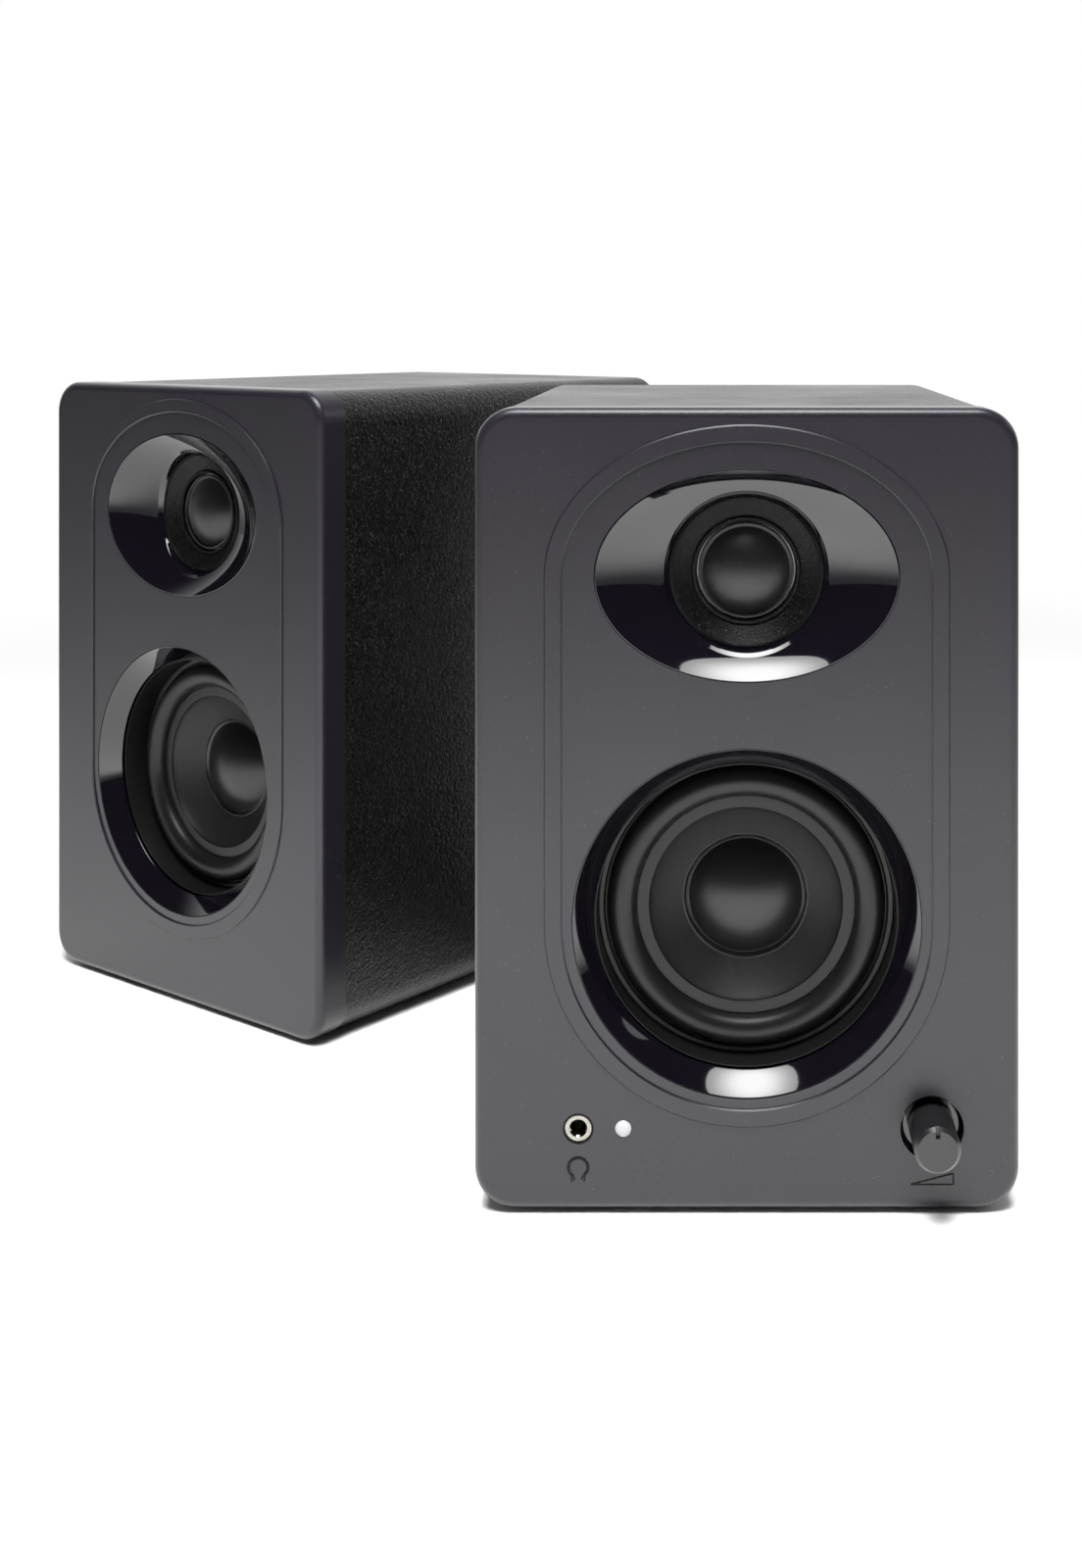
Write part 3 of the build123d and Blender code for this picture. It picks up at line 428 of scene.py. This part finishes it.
def useGroup(nodes, links, group, place, **values):
    node = nodes.new("ShaderNodeGroup")
    node.node_tree = group
    links.new(place, node.inputs["Vector"])
    for label, value in values.items():
        node.inputs[label].default_value = value
    return node


# per finish: colour in its hollows and on its high spots (the high-spot colour is partly the grain's
# own tone and partly painted glint), roughness low and high, pebbles per metre, how deep they are in
# millimetres, how broken up, and what the shader's own sockets hold: coat, sheen, metal and shine,
# which is its specular level
finishes = {
    "baffle_plastic": {
        "dark": (0.0075, 0.0065, 0.0092), "paleAndGlint": (0.017, 0.015, 0.020), "low": 0.27, "high": 0.32,
        "pebbles": 2400, "deep": 0.016, "broken": 0.6, "shine": 0.43},
    # the vinyl's much paler high spots are partly its grain and partly painted sparkle
    "cabinet_vinyl": {
        "dark": (0.0012, 0.0012, 0.0012), "paleAndGlint": (0.045, 0.045, 0.045), "low": 0.28, "high": 0.40,
        "pebbles": 760, "deep": 0.42, "broken": 0.55, "shine": 0.33},
    "gloss_black": {
        "dark": (0.0018, 0.0013, 0.0026), "paleAndGlint": (0.003, 0.002, 0.004), "low": 0.045, "high": 0.07,
        "pebbles": 5000, "deep": 0.0004, "broken": 0.8, "coat": 0.3},
    # the grained black's paler high spots are partly its grain and partly painted sparkle
    "grained_black": {
        "dark": (0.0012, 0.0012, 0.0012), "paleAndGlint": (0.024, 0.025, 0.026), "low": 0.26, "high": 0.36,
        "pebbles": 1500, "deep": 0.16, "broken": 0.6, "shine": 0.12},
    "silk_dome": {
        "dark": (0.0020, 0.0020, 0.0020), "paleAndGlint": (0.012, 0.012, 0.012), "low": 0.31, "high": 0.37,
        "pebbles": 3200, "deep": 0.03, "broken": 0.3, "sheen": 0.05, "shine": 0.42},
    "zinc_plate": {
        "dark": (0.55, 0.56, 0.56), "paleAndGlint": (0.68, 0.69, 0.68), "low": 0.30, "high": 0.45,
        "pebbles": 500, "deep": 0.01, "broken": 0.7, "metal": 1.0},
    "surround_rubber": {
        "dark": (0.0035, 0.0035, 0.0035), "paleAndGlint": (0.010, 0.010, 0.010), "low": 0.34, "high": 0.40,
        "pebbles": 2600, "deep": 0.012, "broken": 0.6, "shine": 0.30},
    "cone_matte": {
        "dark": (0.0050, 0.0050, 0.0053), "paleAndGlint": (0.013, 0.013, 0.0135), "low": 0.46, "high": 0.56,
        "pebbles": 2000, "deep": 0.03, "broken": 0.7, "shine": 0.35},
    "dust_cap_satin": {
        "dark": (0.003, 0.003, 0.0035), "paleAndGlint": (0.007, 0.007, 0.0075), "low": 0.30, "high": 0.36,
        "pebbles": 3500, "deep": 0.006, "broken": 0.7, "shine": 0.45},
    "coil_former": {
        "dark": (0.20, 0.12, 0.05), "paleAndGlint": (0.34, 0.22, 0.10), "low": 0.30, "high": 0.45,
        "pebbles": 1500, "deep": 0.01, "broken": 0.5},
    "spider_cloth": {
        "dark": (0.25, 0.18, 0.09), "paleAndGlint": (0.40, 0.31, 0.18), "low": 0.80, "high": 0.95,
        "pebbles": 1500, "deep": 0.15, "broken": 0.3},
    "basket_steel": {
        "dark": (0.020, 0.020, 0.021), "paleAndGlint": (0.034, 0.034, 0.035), "low": 0.35, "high": 0.50,
        "pebbles": 1800, "deep": 0.02, "broken": 0.5},
    "ferrite": {
        "dark": (0.018, 0.018, 0.019), "paleAndGlint": (0.045, 0.045, 0.047), "low": 0.55, "high": 0.70,
        "pebbles": 2500, "deep": 0.03, "broken": 0.8},
    "black_screw": {
        "dark": (0.020, 0.020, 0.022), "paleAndGlint": (0.060, 0.060, 0.065), "low": 0.25, "high": 0.40,
        "pebbles": 2500, "deep": 0.006, "broken": 0.6, "metal": 0.9},
    "port_plastic": {
        "dark": (0.010, 0.010, 0.010), "paleAndGlint": (0.024, 0.024, 0.024), "low": 0.32, "high": 0.45,
        "pebbles": 2600, "deep": 0.012, "broken": 0.6},
    "foot_rubber": {
        "dark": (0.012, 0.012, 0.012), "paleAndGlint": (0.028, 0.028, 0.027), "low": 0.70, "high": 0.85,
        "pebbles": 2000, "deep": 0.03, "broken": 0.6},
    "jack_nickel": {
        "dark": (0.22, 0.21, 0.18), "paleAndGlint": (0.42, 0.41, 0.37), "low": 0.10, "high": 0.20,
        "pebbles": 1500, "deep": 0.003, "broken": 0.8, "metal": 1.0},
    "led_lens": {
        "dark": (0.30, 0.30, 0.31), "paleAndGlint": (0.37, 0.37, 0.38), "low": 0.22, "high": 0.32,
        "pebbles": 1200, "deep": 0.01, "broken": 0.7},
    "knob_black": {
        "dark": (0.006, 0.006, 0.0065), "paleAndGlint": (0.013, 0.013, 0.014), "low": 0.26, "high": 0.34,
        "pebbles": 3500, "deep": 0.006, "broken": 0.7},
    "pot_case": {
        "dark": (0.50, 0.50, 0.50), "paleAndGlint": (0.66, 0.66, 0.65), "low": 0.30, "high": 0.42,
        "pebbles": 900, "deep": 0.01, "broken": 0.7, "metal": 1.0},
    "circuit_board": {
        "dark": (0.010, 0.075, 0.030), "paleAndGlint": (0.020, 0.120, 0.050), "low": 0.30, "high": 0.42,
        "pebbles": 260, "deep": 0.02, "broken": 0.4},
    "panel_paint": {
        "dark": (0.013, 0.013, 0.014), "paleAndGlint": (0.030, 0.030, 0.032), "low": 0.40, "high": 0.52,
        "pebbles": 1800, "deep": 0.03, "broken": 0.6},
    "core_steel": {
        "dark": (0.16, 0.16, 0.16), "paleAndGlint": (0.30, 0.30, 0.29), "low": 0.40, "high": 0.60,
        "pebbles": 900, "deep": 0.02, "broken": 0.7, "metal": 0.9},
    "socket_black": {
        "dark": (0.010, 0.010, 0.010), "paleAndGlint": (0.022, 0.022, 0.022), "low": 0.30, "high": 0.42,
        "pebbles": 2600, "deep": 0.012, "broken": 0.6},
    "rocker_black": {
        "dark": (0.010, 0.010, 0.010), "paleAndGlint": (0.018, 0.018, 0.018), "low": 0.16, "high": 0.26,
        "pebbles": 3000, "deep": 0.003, "broken": 0.7},
    "lever_red": {
        "dark": (0.42, 0.012, 0.010), "paleAndGlint": (0.58, 0.026, 0.020), "low": 0.25, "high": 0.36,
        "pebbles": 1800, "deep": 0.008, "broken": 0.6},
    "lever_black": {
        "dark": (0.010, 0.010, 0.010), "paleAndGlint": (0.022, 0.022, 0.022), "low": 0.25, "high": 0.36,
        "pebbles": 1800, "deep": 0.008, "broken": 0.6},
}


dust = {"gain": 1.6, "lift": 0.006}  # a speck is a little paler than the high spots round it
coatRoughness = 0.03


def dustTone(paleAndGlint):
    return (*(min(1.0, dust["gain"] * tone + dust["lift"]) for tone in paleAndGlint), 1)


def mouldedFinish(name, values):
    # grain raises the surface and lightens its high spots, partly as the grain's own tone and partly as
    # painted glint; handling drifts the roughness and leaves specks of dust
    material, nodes, links, shader, place = newMaterial(name)
    grain = useGroup(nodes, links, grainGroup, place, Pebbles=values["pebbles"], Roughen=values["broken"])
    handling = useGroup(nodes, links, handlingGroup, place, Low=values["low"], High=values["high"])
    colour = nodes.new("ShaderNodeMix")
    colour.data_type = "RGBA"
    colour.inputs["A"].default_value = (*values["dark"], 1)
    colour.inputs["B"].default_value = (*values["paleAndGlint"], 1)
    # the paler high spots: partly the grain's own tone, partly painted glint
    links.new(grain.outputs["PeakToneAndGlint"], colour.inputs["Factor"])
    dusty = nodes.new("ShaderNodeMix")
    dusty.data_type = "RGBA"
    dusty.inputs["B"].default_value = dustTone(values["paleAndGlint"])
    links.new(handling.outputs["Dust"], dusty.inputs["Factor"])
    links.new(colour.outputs["Result"], dusty.inputs["A"])
    links.new(dusty.outputs["Result"], shader.inputs["Base Color"])
    links.new(handling.outputs["Roughness"], shader.inputs["Roughness"])
    bump = nodes.new("ShaderNodeBump")
    bump.inputs["Distance"].default_value = values["deep"] * mm
    links.new(grain.outputs["Height"], bump.inputs["Height"])
    links.new(bump.outputs["Normal"], shader.inputs["Normal"])
    shader.inputs["Metallic"].default_value = values.get("metal", 0.0)
    shader.inputs["Coat Weight"].default_value = values.get("coat", 0.0)
    shader.inputs["Coat Roughness"].default_value = coatRoughness
    shader.inputs["Sheen Weight"].default_value = values.get("sheen", 0.0)
    shader.inputs["Specular IOR Level"].default_value = values.get("shine", 0.5)
    return material


materials = {name: mouldedFinish(name, values) for name, values in finishes.items()}

makeWorld()
makeGlow(studio["glow"])
for boxName in ("frontBox", "floorBox", "sideBox"):
    makeSoftbox(boxName, studio[boxName])
makeFloor(studio["floor"])
print("studio and finishes ready")

slotOfNode = {entry["node"]: entry["material_slot"] for entry in frame["record"]["subparts"]}
for nodeName, piece in frame["nodes"].items():
    for slotInMesh in piece.material_slots:
        slotInMesh.material = materials[slotOfNode[nodeName]]
print("finishes on the carried-over pieces")

# sizes from here on are in millimetres
horn = {"halfWidth": 37.35, "halfHeight": 25.95, "rim": 0.3, "depth": 8.6, "bowl": 1.6, "body": 12.0,
        "throat": 20.6, "bevel": 0.9, "fall": 0.85, "wall": 19.05, "wallDepth": 8.7, "wallFoot": 0.2,
        "steps": 48, "bevelSteps": 8, "rimSteps": 6}
fineSegments = 256  # round the glossy pieces, whose reflections show every facet


def makeHorn(which):
    # the bowl's depth is d (1 - q^p), q = (x / a)^2 + (z / b)^2, from the elliptical mouth where q = 1
    # in to the round throat; a narrow bevel follows the throat's edge, then a steep wall to one depth
    turn = circle(fineSegments)
    a, b = horn["halfWidth"] - horn["rim"], horn["halfHeight"] - horn["rim"]
    share = np.linspace(0, 1, horn["steps"])[:, None]
    x = (a * (1 - share) + horn["throat"] * share) * np.cos(turn)
    z = (b * (1 - share) + horn["throat"] * share) * np.sin(turn)
    q = (x / a) ** 2 + (z / b) ** 2
    y = horn["depth"] * (1 - np.minimum(q, 1) ** horn["bowl"])
    step = np.linspace(0, 1, horn["bevelSteps"])[1:, None]
    bevelR = horn["throat"] - horn["bevel"] * step + 0 * turn
    bevelY = y[-1] + horn["fall"] * step
    wallR = bevelR[-1] * (1 - step) + horn["wall"] * step
    wallY = bevelY[-1] * (1 - step) + horn["wallDepth"] * step
    backR = np.full((2, 1), horn["wall"]) + 0 * turn
    backY = np.array([[horn["wallDepth"] + horn["wallFoot"]], [horn["body"]]]) + 0 * turn
    innerR = np.concatenate([bevelR, wallR, backR])
    innerY = np.concatenate([bevelY, wallY, backY])
    outerX, outerZ = horn["halfWidth"] * np.cos(turn)[None], horn["halfHeight"] * np.sin(turn)[None]
    edge = np.linspace(0, np.pi / 2, horn["rimSteps"])[:-1, None]
    rimX = (horn["halfWidth"] - horn["rim"] * (1 - np.cos(edge))) * np.cos(turn)
    rimZ = (horn["halfHeight"] - horn["rim"] * (1 - np.cos(edge))) * np.sin(turn)
    rimY = horn["rim"] * (1 - np.sin(edge)) + 0 * turn
    x = np.concatenate([x, innerR * np.cos(turn), outerX, rimX])
    z = np.concatenate([z, innerR * np.sin(turn), outerZ, rimZ]) + speakers[which]["tweeterZ"]
    y = np.concatenate([y, innerY, horn["body"] + 0 * outerX, rimY])
    piece = surface(which + "Horn", toFrame(np.stack([x, y, z], -1), which), True, True)
    finish(piece, which + "_speaker", "gloss_black", which + "_tweeter_waveguide")


dish = {"outer": 42.65, "bore": 37.7, "depth": 5.8, "body": 9.0, "rim": 0.35, "undercut": 1.8,
        "bend": (2.2, 0.52, 2.4), "boreEdge": 0.25, "backEdge": 0.2}


def makeDish(which):
    # the glossy ring slopes from the front down to its bore, a little rounded on the way
    out, share, cut = dish["bend"]  # where it bends: how far outside the bore, how deep, how softly
    corners = [(dish["outer"], 0.0, dish["rim"]),
               (dish["bore"] + out, dish["depth"] * share, cut),
               (dish["bore"], dish["depth"], dish["boreEdge"]),
               (dish["bore"] + dish["undercut"], dish["body"], dish["backEdge"]),
               (dish["outer"], dish["body"], dish["backEdge"])]
    piece = turned(which + "Dish", which, corners, onWoofer(which), fineSegments)
    finish(piece, which + "_speaker", "gloss_black", which + "_woofer_trim_ring")


# the mouth's rim and the bead's groove, the grained slope to the throat, a thin raised ring round the
# dome, and the hidden flange behind; edge, groove and slope say how softly the corners are rounded
funnel = {"rim": 19.2, "rimDepth": 8.35, "bead": 18.5, "beadWidth": 0.3, "beadLift": 0.15,
          "grooveWidth": 0.25, "grooveDepth": 0.4, "throat": 13.9, "throatDepth": 11.1,
          "ring": 13.05, "ringRadius": 0.42, "ringFront": 10.75, "ringRoot": 11.35, "ringBack": 12.2,
          "hole": 12.35, "holeFront": 12.3, "seat": 12.0, "flange": 23.0, "flangeBack": 13.8,
          "fine": 0.05, "edge": 0.1, "flangeEdge": 0.2, "groove": 0.25, "ringEdge": 0.3, "slope": 0.5}


def makeFunnel(which):
    # a profile of straight runs with softened corners, turned round the tweeter's axis
    rim, bead, ring, half = (funnel[key] for key in ("rimDepth", "bead", "ring", "ringRadius"))
    width, groove, floor = funnel["beadWidth"], funnel["grooveWidth"], rim - funnel["grooveDepth"]
    edge, ringEdge, flangeEdge = funnel["edge"], funnel["ringEdge"], funnel["flangeEdge"]
    corners = [(funnel["rim"], rim, edge), (bead + width, rim, edge),
               (bead + groove, floor, funnel["groove"]), (bead - groove, floor, funnel["groove"]),
               (bead - width, rim + funnel["beadLift"], edge),
               (funnel["throat"], funnel["throatDepth"], funnel["slope"]),
               (ring + half, funnel["ringRoot"], edge), (ring + half, funnel["ringFront"], ringEdge),
               (ring - half, funnel["ringFront"], ringEdge), (ring - half, funnel["ringBack"], edge),
               (funnel["hole"], funnel["holeFront"], funnel["fine"]),
               (funnel["hole"], funnel["flangeBack"], edge),
               (funnel["flange"], funnel["flangeBack"], flangeEdge),
               (funnel["flange"], funnel["seat"], flangeEdge),
               (funnel["rim"], funnel["seat"], flangeEdge)]
    piece = turned(which + "Funnel", which, corners, onTweeter(which))
    finish(piece, which + "_speaker", "grained_black", which + "_tweeter_faceplate")


dome = {"radius": 10.9, "height": 4.5, "base": 12.2, "skin": 0.35, "ring": 11.65, "ringRadius": 0.38,
        "ringFront": 0.75, "ringRoot": 0.1, "ringBack": 0.3, "lip": 0.4, "lessRadius": 0.4, "lessHeight": 0.1,
        "edge": 0.1, "ringEdge": 0.3}


def capProfile(radius, height, base):
    # part of a circle from its crown to its edge: the arc of radius (r^2 + h^2) / 2h
    ball = (radius ** 2 + height ** 2) / (2 * height)
    angle = np.linspace(0, math.asin(radius / ball), making["capSteps"])
    return np.stack([ball * np.sin(angle), base - height + ball * (1 - np.cos(angle))], -1)


def makeDome(which):
    # the soft dome with the small raised ring round it; both sides are closed at the middle
    base, ring, half = dome["base"], dome["ring"], dome["ringRadius"]
    edge, ringEdge = dome["edge"], dome["ringEdge"]
    front = capProfile(dome["radius"], dome["height"], base)
    rim = [(ring - half, base - dome["ringRoot"], edge), (ring - half, base - dome["ringFront"], ringEdge),
           (ring + half, base - dome["ringFront"], ringEdge), (ring + half, base + dome["ringBack"], edge),
           (dome["radius"], base + dome["lip"], edge)]
    back = capProfile(dome["radius"] - dome["lessRadius"], dome["height"] - dome["lessHeight"],
                      base + dome["skin"])[::-1]
    outline = np.concatenate([front, softened(rim, False), back])
    piece = carried(which + "Dome", which, outline, onTweeter(which), closed=False)
    finish(piece, which + "_tweeter_moving", "silk_dome", which + "_tweeter_dome")


# lift is how far a place lies ahead of the seat; each edge is its lift and how softly it is rounded
surround = {"outer": 37.2, "seat": 16.0, "skin": 0.7, "rollOuter": 35.2, "rollInner": 27.6, "crest": 3.6,
            "rollLift": 0.5, "rollSteps": 33, "lapInner": 24.3, "lapSlope": 0.2, "lapStart": 0.3,
            "outerEdges": {"foot": (0.0, 0.1), "shoulder": (1.2, 0.35), "step": (1.0, 0.3),
                           "root": (0.5, 0.2)},
            "stepOut": 0.7, "rootOut": 0.25,
            "innerEdges": {"root": (0.6, 0.3), "edge": (0.55, 0.15), "foot": (0.0, 0.1)}}


def makeSurround(which):
    # a half roll, r = middle + h cos(turn) and depth = seat - lift - crest sin(turn), whose outer and
    # inner edges run out into flat flanges
    outer, inner = surround["rollOuter"], surround["rollInner"]
    middle, half = (outer + inner) / 2, (outer - inner) / 2
    turn = np.linspace(0, np.pi, surround["rollSteps"])
    seat, skin = surround["seat"], surround["skin"]
    roll = np.stack([middle + half * np.cos(turn),
                     seat - surround["rollLift"] - surround["crest"] * np.sin(turn)], -1)
    under = np.stack([middle + (half - skin) * np.cos(turn),
                      seat - (surround["crest"] - skin) * np.sin(turn)], -1)[::-1]

    def flange(edges, *radii):
        corners = [(radius, seat - lift, cut) for radius, (lift, cut) in zip(radii, edges.values())]
        return softened(corners, False)

    rim, lap = surround["outer"], surround["lapInner"]
    outerFlange = flange(surround["outerEdges"], rim, rim, outer + surround["stepOut"],
                         outer + surround["rootOut"])
    innerFlange = flange(surround["innerEdges"], inner - surround["lapStart"],
                         lap + surround["lapSlope"], lap)
    outline = np.concatenate([outerFlange, roll, innerFlange, under])
    piece = carried(which + "Surround", which, outline, onWoofer(which))
    finish(piece, which + "_speaker", "surround_rubber", which + "_woofer_surround")


gasket = {"outer": 37.66, "inner": 37.34, "front": 6.7, "back": 15.9, "rim": 0.12}


def makeGasket(which):
    # a thin black sleeve lines the opening between the glossy ring and the surround
    outer, inner, front, back, rim = (gasket[key] for key in ("outer", "inner", "front", "back", "rim"))
    corners = [(outer, front, rim), (inner, front, rim), (inner, back, rim), (outer, back, rim)]
    piece = turned(which + "WooferGasket", which, corners, onWoofer(which))
    finish(piece, which + "_speaker", "surround_rubber")


cone = {"edge": 27.4, "lap": 24.3, "seat": 16.05, "neck": 10.8, "depth": 9.5, "flare": 1.25, "skin": 0.8,
        "steps": 40}


def coneDepth(radius):
    # the cone's front goes back by its depth times ((lap - r) / (lap - neck))^(1 / flare)
    share = np.clip((cone["lap"] - radius) / (cone["lap"] - cone["neck"]), 0, 1)
    return cone["seat"] + cone["depth"] * share ** (1 / cone["flare"])


def makeCone(which):
    radius = np.concatenate([[cone["edge"]], np.linspace(cone["lap"], cone["neck"], cone["steps"])])
    front = np.stack([radius, coneDepth(radius)], -1)
    back = (front + [0.0, cone["skin"]])[::-1]
    piece = carried(which + "Cone", which, np.concatenate([front, back]), onWoofer(which))
    finish(piece, which + "_woofer_moving", "cone_matte", which + "_woofer_cone")


dustCap = {"radius": 14.5, "height": 5.6, "skin": 0.5, "sunk": 0.3, "lessRadius": 0.3, "lessHeight": 0.1}


def makeDustCap(which):
    # two arcs, one a skin's thickness behind the other, both closed at the middle
    radius, height = dustCap["radius"], dustCap["height"]
    base = float(coneDepth(radius)) - dustCap["sunk"]
    front = capProfile(radius, height, base)
    back = capProfile(radius - dustCap["lessRadius"], height - dustCap["lessHeight"],
                      base + dustCap["skin"])[::-1]
    piece = carried(which + "DustCap", which, np.concatenate([front, back]), onWoofer(which), closed=False)
    finish(piece, which + "_woofer_moving", "dust_cap_satin", which + "_woofer_dust_cap")


# taper is how far the film thins out at its edges, calmer damps the quicker waves, sway and swell
# are how much a ridge wanders sideways and in height
glue = {"seed": 4, "inner": 13.9, "outer": 16.1, "ridges": (14.35, 15.6), "ridgeWidth": 0.17,
        "ridgeHeight": 0.34, "film": 0.12, "taper": 0.12, "sunk": 0.02, "under": 0.4,
        "wavesFrom": 2, "waves": 20, "calmer": 0.6, "strength": 3, "sway": 0.05, "swell": 0.35,
        "segments": 360, "steps": 45}


def makeGlueBead(which):
    # a film of glue with two fine ridges: its height is film + sum of h exp(-((r - ridge) / w)^2), and
    # h and each ridge's radius wander as it goes round, as sums of a few waves of random phase
    dice = np.random.default_rng(glue["seed"] + len(which))
    turn = circle(glue["segments"])
    waves = np.arange(glue["wavesFrom"], glue["wavesFrom"] + glue["waves"])[:, None]
    phase = dice.uniform(0, 2 * np.pi, (2 * len(glue["ridges"]), glue["waves"], 1))
    wander = (np.sin(waves * turn + phase) / waves ** glue["calmer"]).sum(1) / glue["strength"]
    radius = np.linspace(glue["inner"], glue["outer"], glue["steps"])[:, None] + 0 * turn
    height = glue["film"] + 0 * radius
    for number, ridge in enumerate(glue["ridges"]):
        middle = ridge + glue["sway"] * wander[number]
        top = glue["ridgeHeight"] * (1 + glue["swell"] * wander[number + len(glue["ridges"])])
        height = height + top * np.exp(-((radius - middle) / glue["ridgeWidth"]) ** 2)
    toEdge = np.minimum(glue["outer"] - radius, radius - glue["inner"])
    height = height * np.clip(toEdge / glue["taper"], 0, 1) - glue["sunk"]
    depth = coneDepth(radius) - height
    ends = radius[[-1, 0]]
    radius = np.concatenate([radius, ends])
    depth = np.concatenate([depth, coneDepth(ends) + glue["under"]])
    z = speakers[which]["wooferZ"] + radius * np.sin(turn)
    local = np.stack([radius * np.cos(turn), depth, z], -1)
    piece = surface(which + "GlueBead", toFrame(local, which), True, True)
    finish(piece, which + "_woofer_moving", "dust_cap_satin")


def localCentre(node):
    return (centreOf(node) - speakers["active"]["origin"]) / mm


# stroke is half a line's width; below says how far a mark's middle lies under the socket's
marks = {"proud": 0.07, "lineSides": 8,
         "headphones": {"stroke": 0.22, "below": 9.4, "radius": 2.55, "within": 0.86, "from": -50, "to": 230,
                        "steps": 57, "padLength": 1.5, "padOut": 0.1, "padIn": 0.55, "padShare": 0.8},
         "level": {"stroke": 0.22, "below": 12.2, "width": 10.4, "height": 2.7, "tip": 0.25, "corner": 0.3},
         "jackGap": {"stroke": 0.28, "radius": 3.5, "steps": 72}}


def makeMark(name, stroke, path, centre):
    # a fine moulded line: a flattened round section, half sunk in the front, follows the closed path
    along = np.roll(path, -1, 0) - np.roll(path, 1, 0)
    along /= np.linalg.norm(along, axis=1, keepdims=True)
    side = np.stack([along[:, 1], -along[:, 0]], -1) * stroke
    angle = circle(marks["lineSides"])
    x = centre[0] + path[:, :1] + side[:, :1] * np.cos(angle)
    z = centre[1] + path[:, 1:] + side[:, 1:] * np.cos(angle)
    y = -marks["proud"] * np.sin(angle) + 0 * x
    piece = surface(name, toFrame(np.stack([x, y, z], -1), "active"), True, True)
    finish(piece, "active_speaker", "grained_black")


def makeHeadphones(centre):
    # a round band open below, drawn out and back, with a pad at each end
    plan = marks["headphones"]
    sweep = np.radians(np.linspace(plan["from"], plan["to"], plan["steps"]))
    band = plan["radius"] * np.stack([np.cos(sweep), np.sin(sweep)], -1)
    inner = band[::-1] * plan["within"]
    padIn = np.array([plan["padIn"], -plan["padLength"] * plan["padShare"]])
    padOut = np.array([plan["padOut"], -plan["padLength"]])
    mirrored = [-1, 1]
    outline = np.concatenate([[band[0] + padOut * mirrored], band, [band[-1] + padOut],
                              [inner[0] + padIn], inner, [inner[-1] + padIn * mirrored]])
    makeMark("headphonesMark", plan["stroke"], outline, centre)


def makeMarks():
    # headphones below the socket, a wedge that rises to the right below the knob, a gap round the socket
    jack, knob = localCentre("headphone_jack"), localCentre("volume_knob")
    makeHeadphones((jack[0], jack[2] - marks["headphones"]["below"]))
    level = marks["level"]
    half, rise, corner = level["width"] / 2, level["height"] / 2, level["corner"]
    corners = [(-half, -rise, level["tip"]), (half, -rise, corner), (half, rise, corner)]
    makeMark("levelMark", level["stroke"], softened(corners), (knob[0], jack[2] - level["below"]))
    gap = marks["jackGap"]
    turn = circle(gap["steps"])
    ring = gap["radius"] * np.stack([np.cos(turn), np.sin(turn)], -1)
    makeMark("jackGap", gap["stroke"], ring, (jack[0], jack[2]))


phonoRings = {"bore": 4.3, "outer": 5.4, "thick": 1.0, "lift": 1.25, "rim": 0.25, "segments": 96,
              "finish": {"upper": "led_lens", "lower": "lever_red"}}


def makePhonoRings():
    # a coloured ring round each phono socket tells the two channels apart
    low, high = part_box("line_input_jacks")
    panelDepth = (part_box("amp_panel")[1].y - frontPlane) / mm + phonoRings["lift"]
    x = localCentre("line_input_jacks")[0]
    across = (high.x - low.x) / 2
    inner, outer, thick, rim = (phonoRings[key] for key in ("bore", "outer", "thick", "rim"))
    corners = [(inner, panelDepth, rim), (outer, panelDepth, rim),
               (outer, panelDepth + thick, rim), (inner, panelDepth + thick, rim)]
    for place, z in (("lower", (low.z + across) / mm), ("upper", (high.z - across) / mm)):
        piece = turned(place + "PhonoRing", "active", corners, (x, z), phonoRings["segments"])
        finish(piece, "active_speaker", phonoRings["finish"][place])


for which in ("active", "passive"):
    makeHorn(which)
    makeDish(which)
    makeFunnel(which)
    makeDome(which)
    makeGasket(which)
    makeSurround(which)
    makeCone(which)
    makeDustCap(which)
    makeGlueBead(which)
print("drivers, horns and dishes made")

makeMarks()
makePhonoRings()
print("marks and phono rings made")
